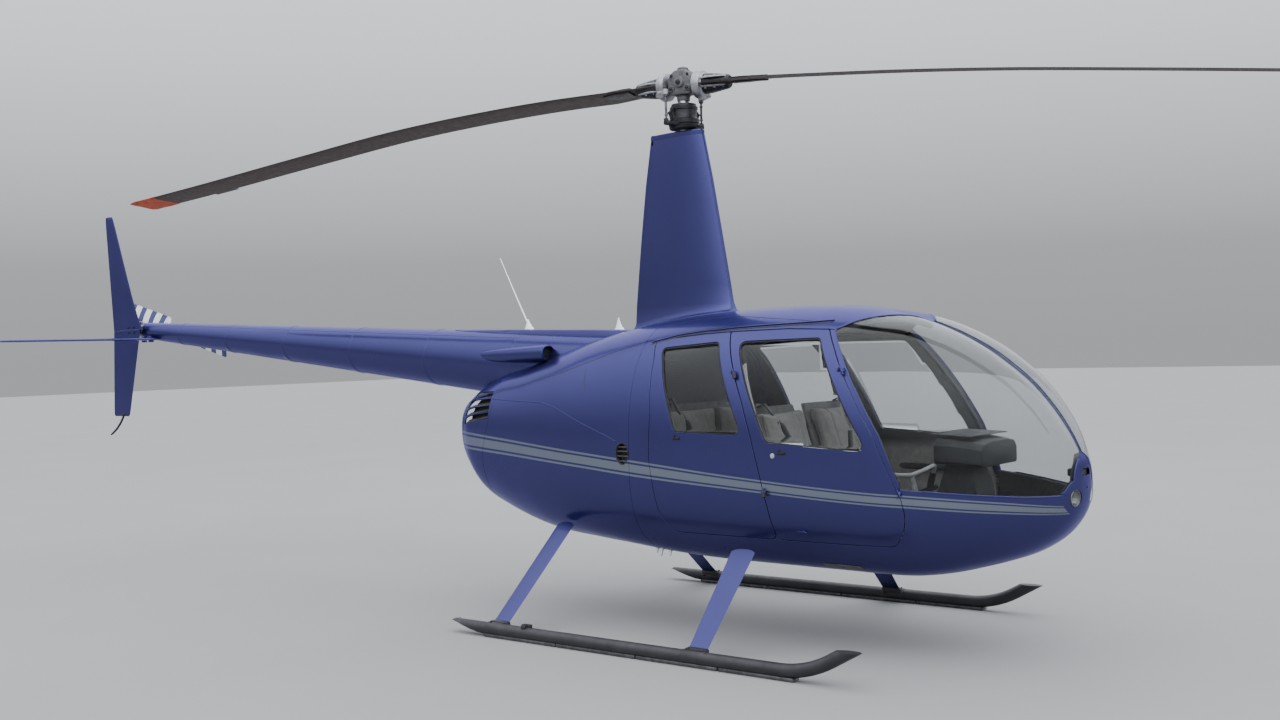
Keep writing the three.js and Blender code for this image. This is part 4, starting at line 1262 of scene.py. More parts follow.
head = Kit().tube([(-119, 0, 0), (-70, 0, 0), (70, 0, 0), (119, 0, 0)], [16, 19, 19, 16], 20)
head.block((-30, -24, -20), (30, 24, 20), 6)
for s in (-1, 1):
    head.lathe((s * 52, 0, -22), Z, [(0, 8), (3, 11), (41, 11), (44, 8)], 14)
    head.lathe((s * 96, 0, -24), Z, [(0, 8), (3, 11), (45, 11), (48, 8)], 14)
    head.tube([(s * 120, -20, 38), (s * 70, -76, 36), (s * 14, -92, 16)], 4, 10)
k = Kit().lathe((TAIL_X, 231, TAIL_Z), Y, [(0, 26), (30, 26), (34, 30), (74, 30), (78, 24), (176, 24), (186, 18),
    (189, 8)], 28)
k.join(head.turned(tail_matrix(0))).done("tail_rotor_head", BARE, "tail_rotor", "tail_rotor_hub")
for letter, spin in BLADES:
    sec = []
    for r, chord, thick, twist in ((120.5, 84, 13, 15), (132, 118, 11, 15), (146, 130, 9.5, 15), (400, 130, 8.5, 14),
            (660, 130, 8, 13), (718, 130, 7, 13), (731, 118, 5, 13), (737, 92, 2, 13)):
        out = foil(chord, thick, 12, 0.8)
        c, s = math.cos(math.radians(twist)), math.sin(math.radians(twist))
        u, w = chord * 0.35 - out[:, 0], out[:, 1]
        sec.append(np.stack([np.full(len(u), r), w * c - u * s, u * c + w * s], 1))
    Kit().loft(sec).turned(tail_matrix(spin)).done(f"tail_rotor_blade_{letter}", TAIL_PAINT, "tail_rotor",
        f"tail_blade_{letter}")

# ---- main rotor ----
ROTOR_TURN = math.radians(6.2)
PITCH = math.radians(6)
# Distance from the mast and height along each blade.
DROOP = {
    "a": [(0, 3188), (330, 3185), (1080, 3132), (1930, 3047), (2690, 2950), (3240, 2876), (4200, 2742), (5030, 2625)],
    "b": [(0, 3196), (330, 3194), (1000, 3196), (1600, 3178), (2200, 3143), (3200, 3044), (4200, 2938), (5030, 2858)],
}


def spun(spin):
    return Matrix.Rotation(ROTOR_TURN + spin, 4, "Z")


def blade_z(side, r):
    """A smooth droop through the table."""
    x, z = np.array(DROOP[side], float).T
    slope = np.gradient(z, x)
    i = int(np.clip(np.searchsorted(x, r) - 1, 0, len(x) - 2))
    h = x[i + 1] - x[i]
    return hermite((r - x[i]) / h, h, z[i], z[i + 1], slope[i], slope[i + 1])


def on_blade(side, r, ahead, w):
    """Places r out along a blade, ahead of its axis and w above its chord, before it is turned about the mast."""
    c, s = math.cos(PITCH), math.sin(PITCH)
    return np.stack([r + 0.0 * w, ahead * c - w * s, blade_z(side, r) + ahead * s + w * c], -1)


# The shaft, its nut and the drive hub below the blades.
shaft = Kit().lathe((0, 0, 2300), Z, [(0, 30), (619, 30), (620, 30), (760, 30), (764, 34), (800, 34), (806, 31),
    (840, 31)], 32)
shaft.done("main_shaft", STEEL, "main_rotor", "main_rotor_mast")
k = Kit()
# Cast hub, its hinge bolts and the lifting eye base on top.
k.prism([(-60, 3134), (60, 3134), (80, 3158), (84, 3222), (66, 3262), (34, 3284), (-34, 3284), (-66, 3262),
    (-84, 3222), (-82, 3160)], -46, 46, "y", 9, segments=3)
k.lathe((0, 0, 3276), Z, [(0, 42), (8, 42), (12, 34), (20, 34), (26, 26), (29, 14)], 28)
k.lathe((0, 0, 3098), Z, [(0, 33), (3, 38), (26, 40), (32, 46)], 28)
for sy in (-1, 1):
    k.lathe((0, sy * 45, 3208), (0, sy, 0), [(0, 34), (6, 34), (9, 30), (16, 30), (18, 24)], 28)
    k.lathe((0, sy * 62, 3208), (0, sy, 0), [(0, 16), (8, 16), (10, 12)], 6, 1)
    for sx in (-1, 1):
        k.lathe((sx * 56, sy * 45, 3172), (0, sy, 0), [(0, 21), (5, 21), (8, 17), (13, 17)], 24)
        k.lathe((sx * 56, sy * 57, 3172), (0, sy, 0), [(0, 11), (7, 11), (9, 8)], 6, 1)
        k.lathe((sx * 56, sy * 44, 3252), (0, sy, 0), [(0, 9), (6, 9), (8, 7)], 6, 1)
k.turned(spun(0)).done("rotor_hub_casting", [CAST_HUB, DARK], "main_rotor", "main_rotor_hub")
ROD_END = [(0, 8), (2, 12), (16, 12), (18, 8)]
ROD_NUT = [(0, 6), (1, 10), (11, 10), (12, 6)]
for side, spin in BLADES:
    k = Kit()
    z = blade_z(side, 110)
    slope = (blade_z(side, 400) - blade_z(side, 200)) / 200
    ax = np.array((1, 0, slope))
    o = np.array((90, 0, z))
    k.lathe(o, ax, [(0, 44), (3, 70), (8, 82), (22, 85), (44, 85), (56, 78), (60, 66), (66, 62)], 40)
    # The root housing closes on the blade from above and below, and narrows outwards.
    k.lathe(o + ax * 62, ax, [(0, 58), (12, 62), (60, 57), (120, 48), (158, 42), (168, 34)], 36, 1)
    for sgn in (-1, 1):
        k.prism([(150, -66), (214, -74), (300, -46), (318, -8), (300, 36), (214, 62), (150, 56)],
            *sorted((z + sgn * 19, z + sgn * 31)), "z", 5)
        for x, y in ((180, -50), (180, 42), (238, -46), (238, 38), (288, -26), (288, 20)):
            k.bolt((x, y, z + sgn * 31), (0, 0, sgn), 8, 7)
    # Pitch horn, from the root housing forward past the leading edge to its link.
    k.prism([(96, 60), (142, 60), (140, 92), (60, 158), (38, 168), (20, 160), (22, 144), (84, 96)], z - 70, z - 46,
        "z", 7)
    k.prism([(98, 40), (140, 40), (138, 84), (100, 84)], z - 66, z - 30, "z", 7)
    k.lathe((32, 156, z - 74), Z, [(0, 14), (3, 18), (30, 18), (33, 14)], 18)
    k.turned(spun(spin)).done(f"blade_grip_{side}", [GRIP, DARK], "main_rotor", f"blade_cuff_{side}")
    a, b = np.array((29, 158, 2974.0)), np.array((31, 157, z - 76.0))
    d = unit(b - a)
    k = Kit().tube([a + d * 6, a + d * 30, b - d * 30, b - d * 4], [5.5, 7, 7, 5.5], 14)
    k.lathe(a + d * 22, d, ROD_NUT, 6).lathe(b - d * 34, d, ROD_NUT, 6)
    k.lathe(a - (0, 9, 0), Y, ROD_END, 18).lathe(b - (0, 9, 0), Y, ROD_END, 18)
    k.turned(spun(spin)).done(f"pitch_link_{side}", STEEL_DARK, "main_rotor", slot="bare_metal")
k = Kit()
k.lathe((0, 0, 2926), Z, [(0, 60), (4, 84), (10, 90), (24, 92), (28, 86), (34, 86), (38, 93), (60, 93), (64, 84),
    (74, 78), (118, 78), (122, 84), (136, 84), (140, 77), (154, 74), (158, 50), (160, 33)], 44)
for spin in (0, math.pi):
    a = Kit()
    a.prism([(-30, 70), (34, 70), (50, 150), (44, 168), (20, 170), (10, 156)], 2946, 2966, "z", 5)
    a.block((18, 146, 2950), (42, 170, 2984), 5)
    k.join(a.turned(spun(spin)))
for t in (20, 140, 260):
    k.prism([(70, -13), (118, -9), (124, 0), (118, 9), (70, 13)], 2934, 2952, "z", 4,
        matrix=Matrix.Rotation(math.radians(t), 4, "Z"))
# Scissor links between the swashplate and the drive collar.
for t in (75, 255):
    a = Kit()
    a.prism([(84, 2978), (98, 2978), (112, 3022), (100, 3028)], -11, 11, "y", 3)
    a.prism([(104, 3018), (114, 3026), (70, 3082), (60, 3072)], -10, 10, "y", 3)
    a.lathe((108, -14, 3023), Y, [(0, 7), (28, 7)], 12)
    k.join(a.turned(Matrix.Rotation(math.radians(t), 4, "Z")))
k.done("swashplate_assembly", DARK, "main_rotor", "swashplate")
# Rod ends that come up out of the fairing.
k = Kit()
for t in (200, 320, 80):
    x, y = 62 * math.cos(math.radians(t)), 46 * math.sin(math.radians(t))
    k.tube([(x, y, 2870), (x, y, 2908)], 7, 12)
k.done("control_rod_ends", STEEL, slot="dark_metal")

ROWS = [152.3, 158, 185, 212, 250, 290, 330, 380, 430, 500, 590, 700, 850, *np.arange(1000, 4900, 130.0),
    4940, 4975, 4999, 5016, 5026, 5030]
for side, spin in BLADES:
    sec = []
    for r in ROWS:
        chord = np.interp(r, [152, 160, 212, 330, 590, 4970, 5010, 5030], [160, 176, 193, 204, 258, 258, 246, 216])
        thick = np.interp(r, [152, 160, 212, 330, 590, 1080, 4970, 5015, 5030],
            [16, 20.5, 21.5, 18, 15.2, 14.6, 13.4, 11, 5])
        out = foil(chord, thick, 16, 1.0)
        sec.append(on_blade(side, r, 70 - np.interp(r, [4970, 5030], [0, 16]) - out[:, 0], out[:, 1]))
    Kit().loft(sec).turned(spun(spin)).done(f"main_blade_skin_{side}", BLADE_LOOK, "main_rotor", f"main_blade_{side}",
        55)
    # Root doublers and a trim tab on the trailing edge.
    k = Kit()
    for reach, lift in ((560, 18.6), (470, 20.2)):
        for sgn in (-1, 1):
            rows = []
            for r in np.linspace(350, reach, 7):
                half = 46 * (1 - 0.55 * max(0, (r - 400) / (reach - 400))**2)
                shape = ((half, lift - 4.5), (0, lift), (-half, lift - 2.4), (-half, 8), (half, 8))
                rows.append([on_blade(side, r, 4 + ahead, sgn * w) for ahead, w in shape])
            k.loft(rows)
    tab = ((-186, 1.0), (-214, 0.8), (-214, -0.8), (-186, -1.0))
    k.loft([[on_blade(side, r, *p) for p in tab] for r in np.linspace(4080, 4320, 4)])
    k.turned(spun(spin)).done(f"blade_fittings_{side}", DARK, "main_rotor")

# Cloth sock on the aft blade's tip.
sec = []
for r, g, chord in ((4735, 2.5, 262), (4742, 5.5, 266), (4790, 4.2, 264), (4840, 6.2, 268), (4890, 4.0, 264),
        (4950, 5.2, 266), (5000, 4.4, 250), (5022, 4.2, 226), (5029.5, 1, 190)):
    thick = np.interp(r, [4700, 4970, 5015, 5030], [13.6, 13.4, 11, 5]) + g
    out = foil(chord, thick, 16, 3.0)
    ahead = 70 + (chord - 258) / 2 - np.interp(r, [4970, 5030], [0, 14]) - out[:, 0]
    sec.append(on_blade("b", r, ahead, out[:, 1] + 1.2 * np.sin(out[:, 0] / 21 + r / 37)))
sock = Kit().loft(sec).turned(spun(math.pi)).done("blade_tip_sock", RUST, "main_rotor", angle=70)

# ---- landing gear ----
SKID_Y, SKID_Z, SKID_R = 1060, 47, 35


def rail_rings(y):
    """Rings along the skid tube. The toe is cut level at the top and the heel is cut away underneath."""
    path = [(x, SKID_Z) for x in (-973, -968, -940, -900, -860, -820, -780, -735, -690, -500, 0, 700, 1100, 1250)]
    bend = math.atan2(177, 314)
    path += [(1268 + 600 * math.sin(bend * t), SKID_Z + 600 * (1 - math.cos(bend * t))) for t in np.linspace(0, 1, 9)]
    x0, z0 = path[-1]
    path += [(x0 + d * math.cos(bend), z0 + d * math.sin(bend)) for d in (8, 16, 36, 56, 76, 96, 121, 146, 171)]
    p = np.array(path)
    t = np.gradient(p, axis=0)
    t /= length(t)
    rings = []
    for q, d in zip(p, t):
        ring = []
        for a in around(28):
            u, w = SKID_R * math.cos(a), SKID_R * math.sin(a)
            x, z = q[0] - d[1] * w, q[1] + d[0] * w
            if z > 178 and x > 1432:
                # Slide the point back along the tube to the level cut.
                back = (z - 178) / d[1]
                x, z = x - back * d[0], 178
            heel = 78 - (x + 973) * 69 / 233
            if x < -735 and z < heel:
                z = min(heel, 82)
            ring.append((x, y + u, z))
        rings.append(ring)
    return rings


for side, sign in (("right", -1), ("left", 1)):
    k = Kit()
    k = Kit().loft(rail_rings(sign * SKID_Y))
    k.done(f"skid_tube_{side}", SKID, replaces=f"skid_{side}", angle=32)
    k = Kit()
    for a, b in ((-716, -190), (-158, 370), (402, 900), (932, 1352)):
        shoe = [(a, 0), (b, 0), (b + 16, 8), (b + 10, 20), (a - 10, 20), (a - 16, 8)]
        k.prism(shoe, sign * SKID_Y - 25, sign * SKID_Y + 25, "y", 3)
        for x in np.linspace(a + 30, b - 30, max(2, int((b - a) / 150))):
            k.bolt((x, sign * SKID_Y, 1.4), Z, 4, 1)
    k.done(f"skid_shoes_{side}", STEEL_DARK)
    for place, x, top_y, top_z, chord_top, chord_low in (("rear", -637, -470, 555, 130, 115),
            ("front", 756, -620, 505, 160, 116)):
        sec = []
        for t in (0.0, 0.06, 0.12, 0.3, 0.5, 0.7, 0.8, 0.9):
            chord = chord_low + (chord_top - chord_low) * t
            y = 18 - SKID_Y + (top_y + SKID_Y) * t * 1.25
            z = max(66 + (top_z - 50) * t * 1.25, 72)
            c, s = np.cos(around(28)), np.sin(around(28))
            sec.append(np.stack([x + chord / 2 * c, (y + 19 * s) * -sign, z + 19 * s], 1))
        # The strut ends just inside the belly.
        k = Kit().loft([s for s in sec if s[:, 2].mean() < top_z + 40])
        k.done(f"{place}_strut_fairing_{side}", PAINT, replaces=f"{place}_strut_{side}", angle=50)
        k = Kit().lathe((x - 74, sign * 1058, 48), X, [(0, 35.5), (2, 37), (146, 37), (148, 35.5)], 28)
        k.prism([(x - 60, sign * 1052), (x + 60, sign * 1052), (x + 66, sign * 1016), (x - 66, sign * 1016)], 60, 92,
            "z", 8)
        for dx in (-50, 50):
            k.bolt((x + dx, sign * 1021, 52), (0, -sign, 0), 6, 6)
            k.bolt((x + dx, sign * SKID_Y, 85), Z, 6, 6)
        k.done(f"{place}_strut_shoe_{side}", SKID)
# Ground handling wheel pins beside the rear struts.
k = Kit()
for sign in (-1, 1):
    k.lathe((-418, sign * 1046, 84), (0, sign, 0), [(0, 14), (20, 14), (24, 18), (34, 18), (38, 12)], 18)
    k.block((-450, sign * 1046 - 14, 70), (-388, sign * 1046 + 14, 96), 4)
k.done("ground_wheel_mounts", SKID)

# ---- antennas ----
sec = []
for z, lx, h in ((1716, 150, 30), (1742, 122, 25), (1764, 92, 19), (1790, 56, 13), (1814, 26, 9), (1836, 11, 6)):
    cx = -1300 - (z - 1716) * 0.18
    sec.append([(cx + lx * 0.5 * math.cos(a) + (0 if math.cos(a) > 0 else 2), h * math.sin(a), z) for a in around(24)])
k = Kit().loft(sec)
k.tube([(-1318, 0, 1806), (-1330, 0, 1828), (-1400, 0, 1955), (-1480, 0, 2106), (-1556, 0, 2251)],
    [5.5, 5.2, 4.2, 3.4, 2.6], 12)
k.lathe((-1555, 0, 2248), (-0.47, 0, 0.88), [(0, 3.4), (3.5, 2.4)], 12)
k.done("whip_antenna_cone", WHITE, replaces="whip_antenna", angle=50)
sec = []
for z, a, b, h in ((1728, -604, -446, 24), (1737, -592, -478, 15), (1749, -581, -506, 10), (1768, -570, -524, 6.5),
        (1796, -560, -538, 4), (1822, -554, -545, 2.2)):
    sec.append([((a + b) / 2 + (b - a) / 2 * math.cos(t), h * math.sin(t), z) for t in around(24)])
Kit().loft(sec).done("small_fin_antenna", WHITE, replaces="fin_antenna", angle=50)


# ---- windscreen frame, centre trims and edge retainers ----
def beside(line, off):
    """The line moved by off millimetres round the body."""
    return unflat(flat(line) + (0, off))


crown_line = [(run_of(float(x)), TOP) for x in np.linspace(2388, 1600, 60)]
nose_line = at_nose(NOSE_EDGE)
strip("windscreen_centre_trim_inner", beside(crown_line, 15.5), 2.6, RUBBER, lift=1.2, thick=4)
strip("windscreen_centre_trim_outer", beside(crown_line, 22), 7, PAINT, lift=1.2, thick=4)
strip("windscreen_foot_trim", np.vstack([side_uv(SCREEN_FOOT, 30), nose_line]), 9, PAINT, lift=1.6, thick=5)
strip("windscreen_nose_seal", beside(nose_line[:4], -44), 30, RUBBER, lift=-3.0, thick=12)
strip("windscreen_nose_frame", beside(nose_line[:4], -15), 34, PAINT, lift=2.0, thick=6)
strip("windscreen_rear_trim", side_uv(SCREEN_REAR, 30), 8, PAINT, lift=1.6, thick=5)
strip("windscreen_top_trim", screen_top, 12, PAINT, lift=1.6, thick=5)
strip("windscreen_top_seal", screen_top, 15, RUBBER, lift=0.6, thick=4)

# Drip rails above the doors, a black strip under them as their painted shadow, and the long rail over the roof's edge.
DOOR_TOP = [(60, 1652), (101, 1662), (246, 1690), (385, 1704), (647, 1721), (777, 1726), (1023, 1734), (1214, 1741)]
ROOF_RAIL = [(8, 1745), (260, 1782), (559, 1794), (934, 1764), (1212, 1741)]
# A black strip along the door tops under the drip rail: the rail's painted shadow.
strip("door_drip_painted_shadow", side_uv(DOOR_TOP, 30), 9, RUBBER, lift=1.0, thick=3)
strip("door_drip_rail", side_uv([(x, z + 9) for x, z in DOOR_TOP], 30), 7, PAINT, lift=5, thick=7)
strip("roof_rail_seam", side_uv(ROOF_RAIL, 40), 3, RUBBER, lift=0.5, thick=2)

# ---- nose lamps and air inlet ----
at, d = (rows[0] for rows in on_body(at_nose([LAMP_AT])))
d = unit(d + (0.55, 0, 0))
LAMP_PARTS = (
    ("bowl", 40, [(0, 10), (2, 33), (8, 38), (30, 41), (34, 42.5), (37, 41.5), (36, 38.5), (28, 36), (10, 23),
    (7, 4)], 40, LAMP_BOWL),
    ("bulb", 32, [(0, 4), (6, 9), (13, 7), (15, 2)], 18, LAMP_BOWL),
    ("glass", 9, [(0, 38.5), (2, 38.5), (5, 33), (7.5, 21), (8.4, 5)], 40, LAMP))
for side, sign in SIDES:
    for part, sunk, profile, n, look in LAMP_PARTS:
        k = Kit().lathe(at - d * sunk, d, profile, n)
        (k if sign > 0 else k.mirrored()).done(f"landing_lamp_{part}_{side}", look)
# A black block behind the inlet slot: painted shade inside the inlet.
Kit().block((2330, -44, 940), (2372, 44, 977), 6).done("nose_inlet_painted_shade_block", RUBBER)
k = Kit()
for z in (949, 958.5, 968):
    x = 2384 - (z - 940) * 0.35
    k.tube([(x, -43, z), (x + 6, 0, z), (x, 43, z)], 1.6, 8)
k.done("nose_inlet_bars", DARK)


# ---- door fittings ----
def spot(x, z, lift=0.0):
    """A place on the body's right side and the outward normal there."""
    p, n = on_body(from_side([(x, z)]))
    return p[0] + n[0] * lift, n[0]


def axes(x, y, z, origin):
    """The matrix that puts the local axes and origin here."""
    m = np.eye(4)
    m[:3] = np.stack([x, y, z, origin], 1)
    return m


def frame_at(x, z):
    """Matrix that puts local x forward, y out of the skin and z up on the right side."""
    p, n = spot(x, z)
    f = unit(X - n[0] * n)
    u = np.cross(f, n)
    return axes(f, n, u if u[2] > 0 else -u, p)


for place, hx, hz in (("rear", 356, 1128), ("front", 1040, 1064)):
    k = Kit()
    k.prism([(-24, -9), (24, -9), (27, 0), (24, 9), (-24, 9), (-27, 0)], -1.0, 1.4, "y", 0.6)
    k.prism([(-20, -5), (20, -5), (21, 3), (-11, 4), (-12, 17), (-20, 17)], 1.2, 7.5, "y", 1.6)
    k.lathe((-16, 5, 0), Y, [(0, 4.5), (4, 4.5), (5, 3)], 16)
    fitted(f"{place}_door_handle", k.turned(frame_at(hx, hz)), DARK, f"{place}_door_{{side}}")
k = Kit().lathe((0, -1, 0), Y, [(0, 13), (3, 13), (4, 11), (4, 8), (3, 7.6)], 24)
k.block((-1.2, 2, -6), (1.2, 4.4, 6), 0.4)
fitted("front_door_lock", k.turned(frame_at(985, 1049)), BARE, "front_door_{side}")
k = Kit().prism([(-26, -9), (26, -9), (26, 9), (-26, 9)], -1, 2.2, "y", 1.0)
k.prism([(-34, -4), (36, -4), (20, 5), (-22, 5)], 1.8, 13, "y", 3)
fitted("front_door_step_tab", k.turned(frame_at(1127, 659)), PAINT, "front_door_{side}")

# Strap hinges: the middle knuckle is on the body, and the outer two are on the door.
HINGES = {"front": ((1696, -608, 880), (1377, -581, 1490)), "rear": ((929, -658, 860), (723, -598, 1482))}
for place, ends in HINGES.items():
    foot, head = np.array(ends, float)
    d = unit(head - foot)
    fixed, moving = Kit(), Kit()
    for o in (foot, head):
        p, n = spot(o[0], o[2])
        n = unit(n - d * (n @ d))
        f = np.cross(n, d)
        m = axes(f if f[0] > 0 else -f, n, d, o)
        gap_in = (p - o) @ n
        a = Kit().lathe((0, 0, -9), Z, [(0, 4.6), (1, 5.4), (17, 5.4), (18, 4.6)], 18)
        if place == "rear":
            leaf = [(-3.4, -2), (12, gap_in - 2.5), (12, gap_in + 1.2), (-2, 4.6)]
        elif gap_in < 20:
            leaf = [(0, -3.4), (17, gap_in - 2.5), (17, gap_in + 1.2), (2, 4.6)]
        else:
            leaf = [(0, -4), (17, -4), (17, 3), (0, 5)]
        a.prism(leaf, -8.5, 8.5, "z", 0.9)
        b = Kit()
        for z0 in (9.6, -22.6):
            b.lathe((0, 0, z0), Z, [(0, 4.6), (1, 5.4), (12, 5.4), (13, 4.6)], 18)
            b.prism([(0, 4.6), (0, -3.6), (-8, gap_in - 2.5), (-27, gap_in - 2.5), (-27, gap_in + 1.2),
                (-7, gap_in + 1.8)], z0 + 0.5, z0 + 12.5, "z", 0.9)
            b.lathe((-20, gap_in + 0.9, z0 + 6.5), Y, [(0, 3), (1, 2.8), (1.5, 1.6)], 10)
        b.lathe((0, 0, -25), Z, [(0, 2.4), (1, 3.8), (2.6, 3.8), (3, 3)], 12)
        if o[2] < 1000:
            to, back = (Matrix.Translation((0, way * gap_in, 0)) for way in (1, -1))
            shrink = to @ Matrix.Diagonal((0.8, 0.8, 0.8, 1)) @ back
            a, b = a.turned(shrink), b.turned(shrink)
        fixed.join(a.turned(m))
        moving.join(b.turned(m))
    fitted(f"{place}_hinge_body_leaf", fixed, PAINT)
    fitted(f"{place}_hinge_door_leaf", moving, PAINT, f"{place}_door_{{side}}")

# Inner door trim, with an arm rest.
for place, shape, pane, x0, x1, z in (("front", smooth_front, pane_front, 1060, 1420, 900),
        ("rear", smooth_rear, pane_rear, 330, 700, 930)):
    ride = f"{place}_door_{{side}}"
    line = unflat(inset(densify(flat(from_side(densify(shape, 30))), 22), 17))
    hole = unflat(inset(densify(flat(from_side(densify(pane, 20))), 22), -3))
    skin(f"{place}_door_inner_trim", line, DOOR_TRIM, [hole], depth=14, rim=16, gap=0, body=ride, step=45)
    row = [spot(x, z, -30)[0] for x in np.linspace(x0, x1, 9)]
    bar = [p + (0, 28 * math.sin(math.pi * i / 8)**0.5, 0) for i, p in enumerate(row[:-1])]
    bar = [row[0] + (0, -8, 0)] + bar[1:] + [row[-1] + (0, -8, 0)]
    fitted(f"{place}_door_arm_rest", Kit().tube(bar, [9] + [13] * 7 + [9], 14, flatten=1.4), PLASTIC, ride)

# ---- cowl fittings ----
m = frame_at(*VENT_AT)
a = Kit().lathe((0, -46, 0), Y, [(0, 30), (4, 46), (36, 47), (42, 49), (46.8, 50), (47.6, 48.5), (46, 46), (8, 44),
    (6, 2)], 34)
a.v = [v * (1, 1, 1.27) for v in a.v]
fitted("oval_vent_cup", a.turned(m), RUBBER)
k = Kit()
for z, w in ((-42, 31), (-14, 43), (14, 43), (38, 33)):
    k.prism([(-w, z - 3), (w, z - 3), (w, z + 3), (-w, z + 3)], -16, -4, "y", 1.5)
fitted("oval_vent_bars", k.turned(m), STEEL_DARK)
# A black sheet behind the louvres as painted shade, and a slanting vane behind each one.
rows = []
for z in np.linspace(1392, 1150, 8):
    xs = np.linspace(-1600, -1290, 8)
    rows.append([spot(x, z, -46)[0] for x in xs] + [spot(x, z, -50)[0] for x in xs[::-1]])
fitted("louvre_painted_shade_back", Kit().loft(rows), RUBBER)
k = Kit()
for front, rear in LOUVRES:
    sec = []
    for x in np.linspace(-1584, -1306, 8):
        z = rear + (front - rear) * (x + 1590) / 284
        p, q = spot(x, z - 33, -5)[0], spot(x, z - 8, -30)[0]
        up = unit(np.cross(q - p, X))
        sec.append([p + up, q + up, q - up, p - up])
    k.loft(sec)
fitted("louvre_vanes", k, RUBBER)
SHORT_SEAM = [(-406, 1520), (-392, 1450), (-366, 1391)]
CREASE = [(-1282, 1330), (-1029, 1322), (-764, 1317), (-609, 1286), (-379, 1202), (-164, 1129), (-90, 1100)]
strip("cowl_long_seam", side_uv(LONG_SEAM, 40), 4.5, RUBBER, lift=0.5, thick=2)
strip("cowl_short_seam", side_uv(SHORT_SEAM, 30), 2.2, RUBBER, lift=0.4, thick=1.6)
strip("cowl_low_crease", side_uv(CREASE, 40), 7, PAINT, lift=1.1, thick=2.4)
# Fasteners along the cowl's seams.
places = [flat(side_uv(line, apart)) for line,
    apart in ((LONG_SEAM, 150), ([(-870, 1303), (-609, 1268), (-379, 1184), (-164, 1111)], 170))]
pts, nor = on_body(unflat(np.vstack(places) + (0, -9)))
rivets("cowl_fasteners", np.vstack([pts, pts * (1, -1, 1)]), np.vstack([nor, nor * (1, -1, 1)]), 5.0, 1.2)


# ---- belly fittings ----
def under(x, y):
    """A place under the body and the outward normal there."""
    run = run_of(x)
    _, low, _, belt, half, _, power = rows_at(run)
    z = (belt - low) * max(1 - min(abs(y) / half, 0.999)**power, 0)**(1 / power)
    p, n = on_body(np.array([[run, math.atan2(-z, y) % (2 * math.pi)]]))
    return p[0], n[0]


k = Kit()
for x, y, r, h in ((4, -330, 9, 44), (58, -318, 7, 34), (-52, -300, 7, 30), (-300, 120, 8, 34), (520, 0, 5, 18)):
    p, n = under(x, y)
    k.lathe(p - n * 3, n, [(0, r * 1.9), (4, r * 1.9), (5.5, r), (h, r), (h + 1, r * 0.7)], 18)
k.done("belly_drains", BARE)
p, n = under(1262, -404)
f = unit(X - n[0] * n)
plate = Kit().block((-112, -32, -1), (112, 32, 2.4), 1.2).turned(axes(f, np.cross(n, f), n, p))
plate.done("belly_access_plate", CAST_HUB)


# ---- cabin floor ----
def inner_half(x, z, wall=46.0):
    """Half the cabin's inside width at a place below the belt line."""
    _, low, _, belt, half, _, power = rows_at(run_of(x))
    w = min(max((belt - z) / (belt - low), 0), 0.999)
    return half * (1 - w**power)**(1 / power) - wall


sec = []
for x in np.linspace(36, 2240, 40):
    z = 498 if x < 1950 else 498 + (x - 1950) * 0.42
    y = max(inner_half(x, z, 40), 20)
    top = [(x, -y, z), (x, -y * 0.5, z + 2), (x, 0, z + 2), (x, y * 0.5, z + 2), (x, y, z)]
    sec.append(top + [(x, y, z - 8), (x, 0, z - 8), (x, -y, z - 8)])
Kit().loft(sec).done("cabin_floor_carpet", CARPET, replaces="cabin_floor_and_nose")

# ---- seats ----
PAD_SHY = 9.0           # millimetres that the flat shape leaves for the swelling
PAD_CAP = 0.022         # metres that a place may swell
PAD_FRAMES = 20
SEAM_WIDTH = 0.0075     # metres


def read(mesh, key="co"):
    data = np.empty(len(mesh.vertices) * 3)
    mesh.vertices.foreach_get(key, data)
    return data.reshape(-1, 3)


def finish_pad(obj):
    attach(obj, "fuselage")


